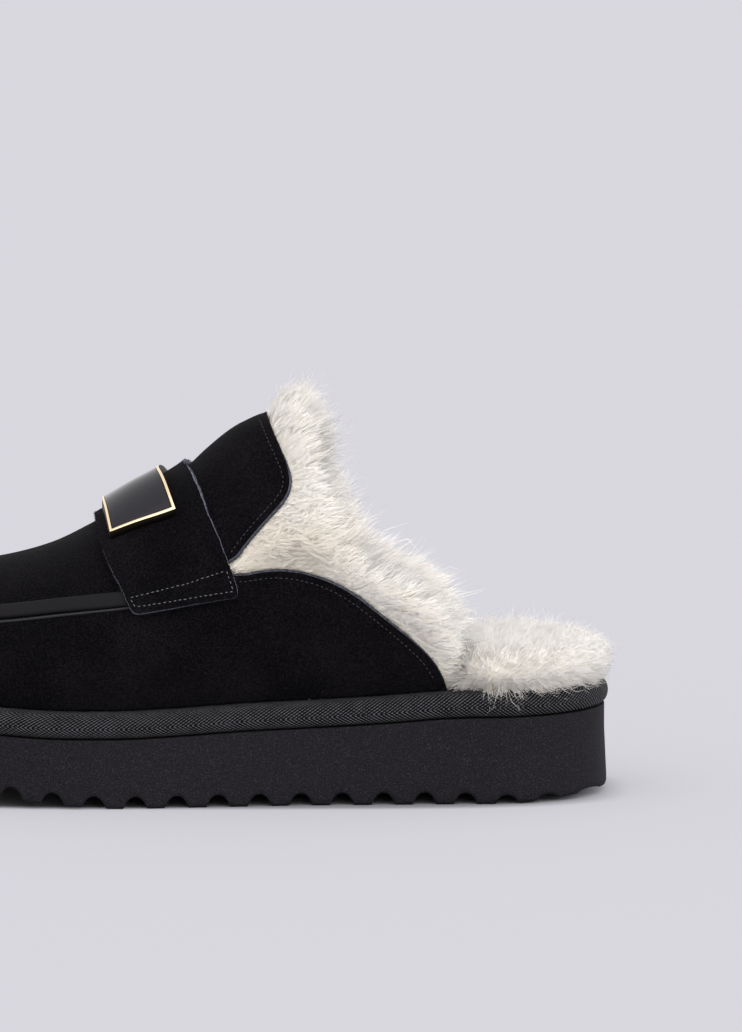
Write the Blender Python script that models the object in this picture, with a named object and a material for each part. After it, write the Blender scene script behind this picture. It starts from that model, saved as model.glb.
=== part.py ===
"""Platform clog slipper with a saddle strap, a curved metal plaque and a sheepskin lining. Left shoe.

Metres, +Z up. The shoe stands empty on its sole. The toe points to -X and the open heel to +X, so the outer side of
this left shoe faces -Y. The origin is on the floor, under the middle of the sole's length.

A "run" is a distance from the sole's heel end towards the toe, a "level" a height above the wrapped midsole, and a
"depth" how far a surface lies inside the upper's outer skin. Tables hold shares of the named sizes.
"""

import math
from collections import namedtuple

import bmesh
import bpy
from mathutils import Vector

# Platform sole and wrapped midsole
SOLE_LENGTH = 0.266
BALL_WIDTH = 0.102
HEEL_FOAM = 0.0306
BALL_FOAM = 0.0240
TOE_RISE = 0.0085
TOE_SPRING = 0.0135
HEEL_BEVEL = 0.0020
FOAM_FLARE = 0.0008
FOAM_EDGE = 0.0012
GROOVE_PITCH = 0.0143
GROOVE_WIDTH = 0.0080
GROOVE_DEPTH = 0.0041
FIRST_GROOVE = 0.0058
GROOVE_SHOULDER = 2.2
GROOVE_FLARE = 0.8
HEEL_GROOVE_SHARE = 0.25
FULL_GROOVES_FROM = 0.060
TAPE_HEIGHT = 0.0088
TAPE_BULGE = 0.0013

# Upper
INSTEP_RISE = 0.0960
UPPER_INSET = 0.0042
WALL = 0.0022
WALL_TUCK = 0.0026
TUCK_HEIGHT = 0.0130
TRIM_WIDTH = 0.0060
TRIM_THICKNESS = 0.0013
TRIM_SEAT = 0.0002
STRAP_THICKNESS = 0.0024
STRAP_CORNER = 0.0030

# Plaque
PLAQUE_WIDTH = 0.0505
PLAQUE_THICKNESS = 0.0028
PLAQUE_RIM = 0.0014
PLAQUE_FLOOR = 0.0009
PLAQUE_SEAT = 0.0004
INLAY_DROP = 0.0002

# Sheepskin
LINING_PILE = 0.0070
CUFF_PUFF = 0.0035
CREST_PUFF = 0.0070
CUFF_ROUNDING = 0.0085
FOOTBED_PILE = 0.0135
FOOTBED_FRONT_PILE = 0.0090
FOOTBED_HEEL_INSET = 0.0034
LOCK_LENGTH = 0.0034
LOCKS_OUTSIDE_FROM = 0.0030
LOCKS_INSIDE_FROM = -0.0080
PUFF_FROM = -0.0030
PUFF_FULL = 0.0070
STRAP_PUFF_FROM = 0.0010
STRAP_PUFF_FULL = 0.0100

# The clearance between pieces that touch on the real shoe
GAP = 0.0003

# How far cutters reach past what they cut, and the step over which a surface's slope is measured
CUTTER_FOOT = 0.0020
CUTTER_BEHIND = 0.0200
SLOPE_STEP = 0.0010

# Plan of the sole: half its width and how far its middle lies towards the inner side, as shares of the ball width.
Plan = namedtuple("Plan", "station half_width middle")
PLAN = [
    Plan(0.00, 0.372, 0.000),
    Plan(0.15, 0.374, -0.003),
    Plan(0.35, 0.376, -0.026),
    Plan(0.50, 0.410, -0.034),
    Plan(0.62, 0.468, -0.024),
    Plan(0.71, 0.497, -0.008),
    Plan(0.80, 0.494, 0.008),
    Plan(0.90, 0.465, 0.030),
    Plan(1.00, 0.415, 0.050),
]
HEEL_ROUND = 0.150
TOE_ROUND = 0.300
TOE_SQUARENESS = 2.25

# Top of the foam: its rise above the ball, as shares of the heel's extra foam and of the toe's rise.
Deck = namedtuple("Deck", "station heel toe")
DECK = [
    Deck(0.00, 1.00, 0.00),
    Deck(0.08, 0.93, 0.00),
    Deck(0.19, 0.88, 0.00),
    Deck(0.29, 0.62, 0.00),
    Deck(0.38, 0.43, 0.00),
    Deck(0.47, 0.30, 0.00),
    Deck(0.56, 0.10, 0.00),
    Deck(0.64, 0.00, 0.00),
    Deck(0.71, 0.00, 0.02),
    Deck(0.79, 0.00, 0.14),
    Deck(0.87, 0.00, 0.38),
    Deck(1.00, 0.00, 1.00),
]
FLAT_FROM = 0.15
SPRING_FROM = 0.63
SPRING_POWER = 1.5

# Rounded edge of the midsole: height within the tape and reach past the foam, as shares of its height and bulge.
Roll = namedtuple("Roll", "level reach")
TAPE_ROLL = [
    Roll(0.00, -1.60),
    Roll(0.06, -0.30),
    Roll(0.26, 0.75),
    Roll(0.50, 1.00),
    Roll(0.74, 0.62),
    Roll(0.92, -0.50),
    Roll(1.00, -2.40),
]

# Ridge line of the upper: its height as a share of the instep rise, and how square its cross section is.
Ridge = namedtuple("Ridge", "station height squareness")
RIDGE = [
    Ridge(0.160, 1.012, 2.60),
    Ridge(0.400, 1.018, 2.45),
    Ridge(0.443, 1.011, 2.32),
    Ridge(0.476, 0.979, 2.20),
    Ridge(0.493, 0.953, 2.14),
    Ridge(0.523, 0.890, 2.06),
    Ridge(0.553, 0.818, 2.02),
    Ridge(0.620, 0.717, 2.02),
    Ridge(0.677, 0.621, 2.06),
    Ridge(0.726, 0.552, 2.10),
    Ridge(0.786, 0.496, 2.15),
    Ridge(0.830, 0.468, 2.20),
    Ridge(0.880, 0.440, 2.30),
    Ridge(1.000, 0.400, 2.40),
]
TOE_CAP_ROUND = 0.190
TOE_CAP_SQUARENESS = 2.4

# Cut edge of the suede, seen from the side: round the tongue to the notch, and back along the quarter.
Edge = namedtuple("Edge", "station level")
TONGUE_EDGE = [
    Edge(0.4440, 1.075),
    Edge(0.4432, 1.011),
    Edge(0.4342, 0.962),
    Edge(0.4226, 0.895),
    Edge(0.4130, 0.838),
    Edge(0.4092, 0.794),
    Edge(0.4118, 0.751),
    Edge(0.4211, 0.711),
    Edge(0.4368, 0.667),
    Edge(0.4564, 0.609),
    Edge(0.4718, 0.559),
    Edge(0.4820, 0.520),
]
QUARTER_EDGE = [
    Edge(0.5150, 0.487),
    Edge(0.4861, 0.472),
    Edge(0.4700, 0.471),
    Edge(0.4523, 0.478),
    Edge(0.4305, 0.481),
    Edge(0.4045, 0.473),
    Edge(0.3722, 0.446),
    Edge(0.3459, 0.411),
    Edge(0.3203, 0.363),
    Edge(0.2944, 0.302),
    Edge(0.2684, 0.238),
    Edge(0.2425, 0.169),
    Edge(0.2256, 0.114),
    Edge(0.2150, 0.060),
    Edge(0.2075, 0.000),
    Edge(0.2030, -0.060),
]

# Outer end of the fleece cuff, from the midsole to over the tongue.
Cuff = namedtuple("Cuff", "level station")
CUFF = [
    Cuff(0.00, 0.192),
    Cuff(0.08, 0.193),
    Cuff(0.17, 0.200),
    Cuff(0.25, 0.216),
    Cuff(0.33, 0.245),
    Cuff(0.40, 0.283),
    Cuff(0.48, 0.325),
    Cuff(0.57, 0.352),
    Cuff(0.66, 0.366),
    Cuff(0.76, 0.374),
    Cuff(0.86, 0.382),
    Cuff(0.95, 0.392),
    Cuff(1.00, 0.402),
]

# The seam between wall and apron: its level as a share of the instep rise.
Seam = namedtuple("Seam", "station level")
SEAM = [
    Seam(0.54, 0.425),
    Seam(0.63, 0.399),
    Seam(0.71, 0.372),
    Seam(0.79, 0.334),
    Seam(0.87, 0.300),
    Seam(0.98, 0.262),
]
TRIM_START = 0.600

# Strap edges: station at the strap's foot (climb 0) and at the crest of the instep (climb 1).
Strap = namedtuple("Strap", "climb front rear")
STRAP = [
    Strap(0.0, 0.617, 0.477),
    Strap(0.5, 0.656, 0.524),
    Strap(1.0, 0.670, 0.553),
]
CREST_SOFTNESS = 0.16
STRAP_FOOT_FRONT = 0.334
STRAP_FOOT_REAR = 0.377
PLAQUE_FRONT = 0.090
PLAQUE_REAR = 0.725

# Side of the footbed at the open heel: level as a share of its pile, and bulge past its foot as a share of it too.
Side = namedtuple("Side", "level bulge")
FOOTBED_SIDE = [
    Side(0.00, 0.00),
    Side(0.20, 0.22),
    Side(0.46, 0.32),
    Side(0.72, 0.24),
    Side(0.90, -0.08),
]
FOOTBED_TOP = (0.80, 0.52, 0.26, 0.00)
HEEL_OPENS = (0.188, 0.164)

# Grid of the upper: steps up to each station, then steps round the toe.
Steps = namedtuple("Steps", "station count")
UPPER_START = 0.165
UPPER_STEPS = [
    Steps(0.400, 6),
    Steps(0.560, 9),
    Steps(0.800, 7),
]
TOE_STEPS = 10
UPPER_ANGLES = 24
CUFF_STEPS = (0.0, 0.0009, 0.0030, 0.0065, 0.0110, 0.0160, 0.0215, 0.0275)
LINING_STEPS = 10


def along(rows, column, at):
    """A table's column at a value of its first column, by cubic pieces that never overshoot the rows."""
    keys = [row[0] for row in rows]
    values = [getattr(row, column) for row in rows]
    if at <= keys[0]:
        return values[0]
    if at >= keys[-1]:
        return values[-1]
    slopes = [(values[i + 1] - values[i]) / (keys[i + 1] - keys[i]) for i in range(len(rows) - 1)]

    def tangent(k):
        if k == 0:
            return slopes[0]
        if k == len(rows) - 1:
            return slopes[-1]
        if slopes[k - 1] * slopes[k] <= 0:
            return 0.0
        return 2 * slopes[k - 1] * slopes[k] / (slopes[k - 1] + slopes[k])

    i = max(k for k in range(len(rows) - 1) if keys[k] <= at)
    step = keys[i + 1] - keys[i]
    t = (at - keys[i]) / step
    return (
        (2 * t**3 - 3 * t**2 + 1) * values[i]
        + (t**3 - 2 * t**2 + t) * step * tangent(i)
        + (3 * t**2 - 2 * t**3) * values[i + 1]
        + (t**3 - t**2) * step * tangent(i + 1)
    )


def smooth(value, low, high):
    """0 at low, 1 at high and an S curve between, whichever of the two is the larger."""
    t = min(1.0, max(0.0, (value - low) / (high - low)))
    return t * t * (3 - 2 * t)


def mix(a, b, share):
    return a + (b - a) * share


def rounded(share, power):
    """Profile of a rounded end: 0 at its tip (share 0), 1 where the straight part begins (share 1)."""
    return (1 - (1 - min(1.0, max(0.0, share))) ** power) ** (1 / power)


def even_runs(start, end, count):
    """Runs from start to end, closer together at both ends, where an outline turns."""
    return [mix(start, end, 0.5 * (1 - math.cos(math.pi * k / count))) for k in range(count + 1)]


# Plan, deck and floor line of the sole


def x_at(run):
    return SOLE_LENGTH / 2 - run


def half_width(run, inset):
    """Half the plan's width at a run, for an outline that lies this far inside the sole's."""
    heel = rounded((run - inset) / (HEEL_ROUND * SOLE_LENGTH - inset), 2.0)
    toe = rounded((SOLE_LENGTH - inset - run) / (TOE_ROUND * SOLE_LENGTH - inset), TOE_SQUARENESS)
    return (along(PLAN, "half_width", run / SOLE_LENGTH) * BALL_WIDTH - inset) * heel * toe


def middle(run):
    return along(PLAN, "middle", run / SOLE_LENGTH) * BALL_WIDTH


def deck(run):
    """Top of the foam."""
    heel = (HEEL_FOAM - BALL_FOAM) * along(DECK, "heel", run / SOLE_LENGTH)
    return BALL_FOAM + heel + TOE_RISE * along(DECK, "toe", run / SOLE_LENGTH)


def floor_of_upper(run):
    """The level from which the upper, its lining and the footbed rise: just above the wrapped midsole."""
    return deck(run) + TAPE_HEIGHT + 2 * GAP


def lift(run):
    """Height of the lugs' faces above the floor: a bevel at the heel and the spring of the toe."""
    station = run / SOLE_LENGTH
    spring = max(0.0, (station - SPRING_FROM) / (1 - SPRING_FROM)) ** SPRING_POWER
    return HEEL_BEVEL * smooth(station, FLAT_FROM, 0.0) + TOE_SPRING * spring


def groove_centres():
    count = int((SOLE_LENGTH - 2 * FIRST_GROOVE) / GROOVE_PITCH) + 1
    return [FIRST_GROOVE + k * GROOVE_PITCH for k in range(count)]


def tread(run):
    """Underside of the foam, with a round-topped groove across the sole at each pitch."""
    nearest = min(abs(run - centre) for centre in groove_centres())
    across = min(1.0, nearest / (GROOVE_WIDTH / 2))
    depth = GROOVE_DEPTH * mix(HEEL_GROOVE_SHARE, 1.0, smooth(run, 0.0, FULL_GROOVES_FROM))
    return lift(run) + depth * (1 - across ** GROOVE_SHOULDER) ** GROOVE_FLARE


# Meshes and materials


def add_object(name, bm, collection, sharp=35):
    """An object from a bmesh, with doubles merged, faces turned outwards and smooth shading up to the sharp angle."""
    bmesh.ops.remove_doubles(bm, verts=bm.verts, dist=1e-6)
    bmesh.ops.recalc_face_normals(bm, faces=bm.faces)
    mesh = bpy.data.meshes.new(name)
    bm.to_mesh(mesh)
    bm.free()
    mesh.shade_smooth()
    mesh.set_sharp_from_angle(angle=math.radians(sharp))
    thing = bpy.data.objects.new(name, mesh)
    collection.objects.link(thing)
    return thing


def paint(thing, name, colour, roughness, metallic=0.0):
    material = bpy.data.materials.new(name)
    material.use_nodes = True
    shader = material.node_tree.nodes["Principled BSDF"]
    shader.inputs["Base Color"].default_value = (*colour, 1.0)
    shader.inputs["Roughness"].default_value = roughness
    shader.inputs["Metallic"].default_value = metallic
    thing.data.materials.append(material)


def quad(bm, corners):
    """A face through the corners that are not the same vertex or place, if at least three are left."""
    kept = []
    for vert in corners:
        if all((vert.co - other.co).length > 1e-7 for other in kept):
            kept.append(vert)
    return bm.faces.new(kept) if len(kept) > 2 else None


def sheet(bm, rows):
    """Faces between neighbouring rows of vertices."""
    return [
        quad(bm, (low[i], low[i + 1], high[i + 1], high[i]))
        for low, high in zip(rows, rows[1:])
        for i in range(len(low) - 1)
    ]


def cut(thing, cutter):
    modifier = thing.modifiers.new("cut by " + cutter.name, "BOOLEAN")
    modifier.operation = "DIFFERENCE"
    modifier.object = cutter
    cutter.hide_render = True
    cutter.display_type = "WIRE"


# Platform sole, midsole and footbed: stacks of level rings


def ring(runs, half_widths, height_at):
    """Both sides of a level ring, heel to toe."""
    sides = []
    for side in (-1, 1):
        sides.append([
            Vector((x_at(run), middle(run) + side * half, height_at(run)))
            for run, half in zip(runs, half_widths)
        ])
    return sides


def stack(rings):
    """A closed solid from rings, bottom to top, with the first and the last capped from side to side."""
    bm = bmesh.new()
    made = [[[bm.verts.new(point) for point in side] for side in sides] for sides in rings]
    for low, high in zip(made, made[1:]):
        for side in (0, 1):
            sheet(bm, (low[side], high[side]))
    sheet(bm, made[0])
    sheet(bm, made[-1])
    return bm


def sole_shares():
    """Shares of the sole's length: the groove profile's own steps, and an even spread for the outline."""
    steps = 5
    grooved = [
        centre + GROOVE_WIDTH * (k / steps - 0.5) for centre in groove_centres() for k in range(steps + 1)
    ]
    clear = GROOVE_WIDTH / steps
    grooved = [run for run in grooved if clear < run < SOLE_LENGTH - clear]
    outline = even_runs(0.0, SOLE_LENGTH, 34)
    outline = [run for run in outline if min(abs(run - groove) for groove in grooved) > clear * 0.7]
    return [run / SOLE_LENGTH for run in sorted(grooved + outline)]


def platform_sole(collection):
    """The foam unit: one moulding, from the grooved tread to the deck under the tape."""
    shares = sole_shares()

    def level_ring(inset, height_at):
        runs = [mix(inset, SOLE_LENGTH - inset, share) for share in shares]
        return ring(runs, [half_width(run, inset) for run in runs], height_at)

    rings = [
        level_ring(FOAM_EDGE - FOAM_FLARE, tread),
        level_ring(-FOAM_FLARE, lambda run: tread(run) + FOAM_EDGE),
        level_ring(0.0, lambda run: mix(tread(run), deck(run), 0.7)),
        level_ring(0.0, deck),
    ]
    sole = add_object("platform_sole", stack(rings), collection)
    paint(sole, "charcoal foam", (0.022, 0.021, 0.024), 0.85)


def wrapped_midsole(collection):
    """The board between foam and upper, its rounded edge wrapped in woven tape."""
    rings = []
    for roll in TAPE_ROLL:
        inset = -roll.reach * TAPE_BULGE
        runs = even_runs(inset, SOLE_LENGTH - inset, 27)
        rings.append(ring(
            runs,
            [half_width(run, inset) for run in runs],
            lambda run, level=roll.level: deck(run) + GAP + level * TAPE_HEIGHT,
        ))
    board = add_object("wrapped_midsole", stack(rings), collection, sharp=60)
    paint(board, "woven tape", (0.030, 0.030, 0.034), 0.6)


# Surfaces of the upper


def tip(depth):
    """Run of the toe's tip for a surface at this depth."""
    return SOLE_LENGTH - UPPER_INSET - depth


def ridge(run, depth=0.0):
    """Level of the ridge line at a depth. The line rounds down to nothing at the toe's tip."""
    station = run / SOLE_LENGTH
    reach = 0.01
    rise = along(RIDGE, "height", station + reach) - along(RIDGE, "height", station - reach)
    slope = rise * INSTEP_RISE / (2 * reach * SOLE_LENGTH)
    cap = TOE_CAP_ROUND * SOLE_LENGTH - UPPER_INSET - depth
    height = along(RIDGE, "height", station) * INSTEP_RISE - depth * math.hypot(1.0, slope)
    return height * rounded((tip(depth) - run) / cap, TOE_CAP_SQUARENESS)


def skin(run, angle, depth=0.0):
    """A point of the upper at a depth below its outer skin, or above it if the depth is negative. The angle goes
    from 0 at the outer side's foot over the ridge to pi at the inner side's foot."""
    power = 2 / along(RIDGE, "squareness", run / SOLE_LENGTH)
    level = ridge(run, depth) * max(0.0, math.sin(angle)) ** power
    across = half_width(run, UPPER_INSET + depth) * abs(math.cos(angle)) ** power
    tuck = WALL_TUCK * max(0.0, 1 - level / TUCK_HEIGHT) ** 2
    across = max(0.0, across - tuck * min(1.0, across / TUCK_HEIGHT))
    side = -1 if angle < math.pi / 2 else 1
    return Vector((x_at(run), middle(run) + side * across, floor_of_upper(run) + level))


def angle_at(run, level):
    """Angle on the outer side where the skin is this far above its floor."""
    share = min(1.0, max(0.0, level / max(1e-6, ridge(run))))
    return math.asin(share ** (along(RIDGE, "squareness", run / SOLE_LENGTH) / 2))


def skin_normal(run, angle):
    fore = min(run + SLOPE_STEP, tip(0.0) - 0.2 * SLOPE_STEP)
    along_run = skin(fore, angle) - skin(fore - 2 * SLOPE_STEP, angle)
    over = skin(run, angle + 0.02) - skin(run, angle - 0.02)
    return over.cross(along_run).normalized()


def upper_runs(start, depth):
    """Runs of the upper's grid for a surface at a depth: fixed steps, then shrinking steps round the toe."""
    runs = [start]
    for steps in UPPER_STEPS:
        first = runs[-1]
        runs += [mix(first, steps.station * SOLE_LENGTH, (k + 1) / steps.count) for k in range(steps.count)]
    return runs + toe_runs(runs[-1], tip(depth), TOE_STEPS)


def toe_runs(start, end, count):
    return [mix(start, end, math.sin(0.5 * math.pi * (k + 1) / count)) for k in range(count)]


def shell(start, outer, inner, foot=0.0):
    """The upper's form as a closed shell between two depths, open underneath and at its rear. Foot lowers its two
    lower edges."""
    bm = bmesh.new()
    angles = [math.pi * j / UPPER_ANGLES for j in range(UPPER_ANGLES + 1)]
    sheets = []
    for depth in (outer, inner):
        rows = []
        for run in upper_runs(start, depth):
            points = [skin(run, angle, depth) for angle in angles]
            points[0].z -= foot
            points[-1].z -= foot
            rows.append([bm.verts.new(point) for point in points])
        sheet(bm, rows)
        sheets.append(rows)
    outside, inside = sheets
    for j in (0, UPPER_ANGLES):
        sheet(bm, ([row[j] for row in outside], [row[j] for row in inside]))
    sheet(bm, (outside[0], inside[0]))
    return bm


def corner_cut(points):
    """The same line with each corner cut off a quarter of the way along its sides."""
    cut_line = [points[0]]
    for (ax, az), (bx, bz) in zip(points, points[1:]):
        cut_line += [(mix(ax, bx, 0.25), mix(az, bz, 0.25)), (mix(ax, bx, 0.75), mix(az, bz, 0.75))]
    return cut_line + [points[-1]]


def topline(grown=0.0):
    """The suede's cut edge in side view, as runs and levels from over the tongue's tip to below the midsole. It can
    be grown into the opening behind it."""
    tongue = corner_cut([(row.station * SOLE_LENGTH, row.level * INSTEP_RISE) for row in TONGUE_EDGE])
    quarter = corner_cut([(row.station * SOLE_LENGTH, row.level * INSTEP_RISE) for row in QUARTER_EDGE])
    line = tongue + quarter
    moved = []
    for i, (run, level) in enumerate(line):
        before, after = line[max(0, i - 1)], line[min(len(line) - 1, i + 1)]
        across, up = after[0] - before[0], after[1] - before[1]
        length = math.hypot(across, up)
        moved.append((run + grown * up / length, level - grown * across / length))
    return moved


TOPLINE = topline()


def beyond_topline(run, level):
    """Distance from the suede's cut edge in side view: positive in the opening, negative on the suede."""
    nearest = 1.0
    for (ax, az), (bx, bz) in zip(TOPLINE, TOPLINE[1:]):
        t = ((run - ax) * (bx - ax) + (level - az) * (bz - az)) / ((bx - ax) ** 2 + (bz - az) ** 2)
        t = min(1.0, max(0.0, t))
        nearest = min(nearest, math.hypot(run - mix(ax, bx, t), level - mix(az, bz, t)))
    outline = opening_outline(TOPLINE)
    inside = False
    for (ax, az), (bx, bz) in zip(outline, outline[1:] + outline[:1]):
        if (az > level) != (bz > level) and run < mix(ax, bx, (level - az) / (bz - az)):
            inside = not inside
    return nearest if inside else -nearest


def opening_outline(line):
    """A side-view outline of all that lies behind a cut edge."""
    behind = -CUTTER_BEHIND
    return line + [(behind, line[-1][1]), (behind, 1.5 * INSTEP_RISE), (line[0][0], 1.5 * INSTEP_RISE)]


def opening_cutter(name, grown, collection):
    """A prism across the whole shoe over the opening behind the suede's cut edge."""
    bm = bmesh.new()
    outline = opening_outline(topline(grown))
    near, far = [
        [bm.verts.new((x_at(run), side * BALL_WIDTH, floor_of_upper(run) + level)) for run, level in outline]
        for side in (-1, 1)
    ]
    bm.faces.new(near)
    bm.faces.new(far)
    sheet(bm, (near + near[:1], far + far[:1]))
    return add_object(name, bm, collection)


def upper(collection, cutters):
    """Vamp wall, apron, tongue and quarters of black suede: one hollow wall, open underneath and at the heel."""
    start = UPPER_START * SOLE_LENGTH
    suede = add_object("upper", shell(start, 0.0, WALL), collection, sharp=50)
    cut(suede, opening_cutter("collar opening", 0.0, cutters))
    paint(suede, "black suede", (0.0085, 0.0080, 0.0090), 0.95)


# Overlays on the upper


def patch(bm, rows_at, low, high):
    """A closed slab on the upper over a grid of (run, angle) pairs, from a low to a high distance off its skin."""
    sheets = []
    for off in (low, high):
        rows = [[bm.verts.new(skin(run, angle, -off)) for run, angle in row] for row in rows_at]
        sheet(bm, rows)
        sheets.append(rows)
    bottom, top = sheets
    for k in (0, -1):
        sheet(bm, (bottom[k], top[k]))
        sheet(bm, ([row[k] for row in bottom], [row[k] for row in top]))
    return bottom, top


def strap_edge(column, rise):
    """Station of a strap edge at a rise from 0 at the foot to 1 at the crest, which the edge crosses in a curve."""
    flat = math.hypot(1 - rise, CREST_SOFTNESS) - CREST_SOFTNESS
    return along(STRAP, column, 1 - flat / (math.hypot(1.0, CREST_SOFTNESS) - CREST_SOFTNESS))


def strap_place(climb, across):
    """Run and angle on the strap: climb from 0 at its foot to 1 at the crest and 2 at the other foot, and across
    from 0 at its front edge to 1 at its rear edge."""
    rise = min(climb, 2 - climb)
    foot_run = mix(STRAP[0].front, STRAP[0].rear, across) * SOLE_LENGTH
    foot = angle_at(foot_run, mix(STRAP_FOOT_FRONT, STRAP_FOOT_REAR, across) * INSTEP_RISE)
    run = mix(strap_edge("front", rise), strap_edge("rear", rise), across) * SOLE_LENGTH
    angle = mix(foot, math.pi / 2, rise)
    return run, angle if climb <= 1 else math.pi - angle


def strap_rear(run, angle):
    """Run of the strap's rear edge at the climb of a place on the skin."""
    foot = strap_place(0.0, 1.0)[1]
    angle = min(angle, math.pi - angle)
    climb = min(1.0, max(0.0, (angle - foot) / (math.pi / 2 - foot)))
    return strap_place(climb, 1.0)[0]


def strap_grid(margin):
    """Rows of places over the strap, foot to foot, with rounded lower corners and a margin round it."""
    climbs = 10
    widths = [0.0, 0.08, 0.36, 0.64, 0.92, 1.0]
    corner_climb = STRAP_CORNER / (0.9 * INSTEP_RISE)
    half = [corner_climb * (1 - math.cos(math.pi / 6 * k)) for k in range(3)]
    half += [mix(corner_climb, 1.0, k / climbs) for k in range(climbs + 1)]
    half[0] -= margin / INSTEP_RISE
    grid = []
    for climb in half[:-1] + [1.0] + [2 - climb for climb in half[-2::-1]]:
        rise = min(climb, 2 - climb)
        width = (strap_edge("front", rise) - strap_edge("rear", rise)) * SOLE_LENGTH
        pull = (STRAP_CORNER * (1 - rounded(rise / corner_climb, 2.0)) - margin) / width
        grid.append([strap_place(climb, mix(pull, 1 - pull, across)) for across in widths])
    return grid


def saddle_strap(collection):
    """The suede saddle strap that lies across the instep."""
    bm = bmesh.new()
    patch(bm, strap_grid(0.0), GAP, GAP + STRAP_THICKNESS)
    strap = add_object("saddle_strap", bm, collection, sharp=50)
    paint(strap, "black suede", (0.0085, 0.0080, 0.0090), 0.95)


def apron_trim(collection, cutters):
    """A smooth leather band over the seam between wall and apron, from the strap round the toe and back to it."""
    steps = 20
    start = TRIM_START * SOLE_LENGTH
    low, high = start, tip(0.0)
    for _ in range(40):
        front = 0.5 * (low + high)
        if along(SEAM, "level", front / SOLE_LENGTH) * INSTEP_RISE < ridge(front):
            low = front
        else:
            high = front
    half = []
    for k in range(steps + 1):
        run = mix(start, front, math.sin(0.5 * math.pi * k / steps))
        half.append((run, angle_at(run, along(SEAM, "level", run / SOLE_LENGTH) * INSTEP_RISE)))
    route = half[:-1] + [(front, math.pi / 2)] + [(run, math.pi - angle) for run, angle in half[-2::-1]]
    centre = [skin(run, angle) for run, angle in route]
    seat = TRIM_SEAT + GAP
    section = [(-0.5, 0.0), (-0.5, 0.45), (-0.3, 1.0), (0.3, 1.0), (0.5, 0.45), (0.5, 0.0)]
    bm = bmesh.new()
    rows = []
    for k, (run, angle) in enumerate(route):
        ahead = centre[min(k + 1, len(centre) - 1)] - centre[max(k - 1, 0)]
        up = skin_normal(run, angle)
        side = up.cross(ahead).normalized()
        rows.append([
            bm.verts.new(centre[k] + side * (across * TRIM_WIDTH) + up * (seat + height * TRIM_THICKNESS))
            for across, height in section
        ])
    sheet(bm, [row + row[:1] for row in rows])
    bm.faces.new(rows[0])
    bm.faces.new(rows[-1])
    trim = add_object("apron_trim", bm, collection)
    bm = bmesh.new()
    patch(bm, strap_grid(GAP), -WALL, 3 * STRAP_THICKNESS)
    cut(trim, add_object("strap and its clearance", bm, cutters))
    paint(trim, "charcoal leather", (0.018, 0.017, 0.019), 0.45)


def plaque_place(along_foot, across):
    """Run and angle on the plaque: both shares, 0 to 1, from its front edge and from its outer end."""
    y = mix(-0.5, 0.5, across) * PLAQUE_WIDTH
    run = strap_place(1.0, mix(PLAQUE_FRONT, PLAQUE_REAR, along_foot))[0]
    angle = math.pi / 2
    for _ in range(6):
        power = 2 / along(RIDGE, "squareness", run / SOLE_LENGTH)
        reach = min(0.99, abs(y) / (half_width(run, UPPER_INSET - STRAP_THICKNESS)))
        angle = math.acos(reach ** (1 / power))
        foot = strap_place(0.0, 0.5)[1]
        climb = min(1.0, (angle - foot) / (math.pi / 2 - foot))
        run = strap_place(climb, mix(PLAQUE_FRONT, PLAQUE_REAR, along_foot))[0]
    return run, angle if y < 0 else math.pi - angle


def plaque_slab(name, us, vs, base, collection):
    """A curved slab on the strap. Its grid lines are pairs of a share and the height of the top there, and where two
    lines share a place the top steps from one height to the other."""
    bm = bmesh.new()
    bottom, top = [], []
    for v, v_height in vs:
        places = [plaque_place(u, v) for u, _ in us]
        bottom.append([bm.verts.new(skin(run, angle, -base)) for run, angle in places])
        top.append([
            bm.verts.new(skin(run, angle, -max(v_height, u_height)))
            for (run, angle), (_, u_height) in zip(places, us)
        ])
    sheet(bm, bottom)
    sheet(bm, top)
    for k in (0, -1):
        sheet(bm, (bottom[k], top[k]))
        sheet(bm, ([row[k] for row in bottom], [row[k] for row in top]))
    return add_object(name, bm, collection)


def spread(low, high, count, height):
    return [(mix(low, high, k / count), height) for k in range(count + 1)]


def plaque(collection):
    """The curved metal plaque on the strap: a shallow frame, and an enamel inlay on its floor."""
    base = GAP + STRAP_THICKNESS + PLAQUE_SEAT
    top, tray = base + PLAQUE_THICKNESS, base + PLAQUE_FLOOR
    length = (STRAP[-1].front - STRAP[-1].rear) * SOLE_LENGTH * (PLAQUE_REAR - PLAQUE_FRONT)
    rim = PLAQUE_RIM / length
    end_rim = PLAQUE_RIM / PLAQUE_WIDTH
    frame = plaque_slab(
        "plaque_frame",
        [(0.0, top), (rim, top)] + spread(rim, 1 - rim, 3, tray) + [(1 - rim, top), (1.0, top)],
        [(0.0, top), (end_rim, top)] + spread(end_rim, 1 - end_rim, 10, tray) + [(1 - end_rim, top), (1.0, top)],
        base,
        collection,
    )
    paint(frame, "pale gold", (0.80, 0.62, 0.36), 0.22, 1.0)
    edge, end = rim + GAP / length, end_rim + GAP / PLAQUE_WIDTH
    face = top - INLAY_DROP
    inlay = plaque_slab(
        "plaque_inlay", spread(edge, 1 - edge, 3, face), spread(end, 1 - end, 10, face), tray + GAP, collection
    )
    paint(inlay, "dark grey enamel", (0.055, 0.052, 0.058), 0.12)


# Sheepskin


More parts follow.
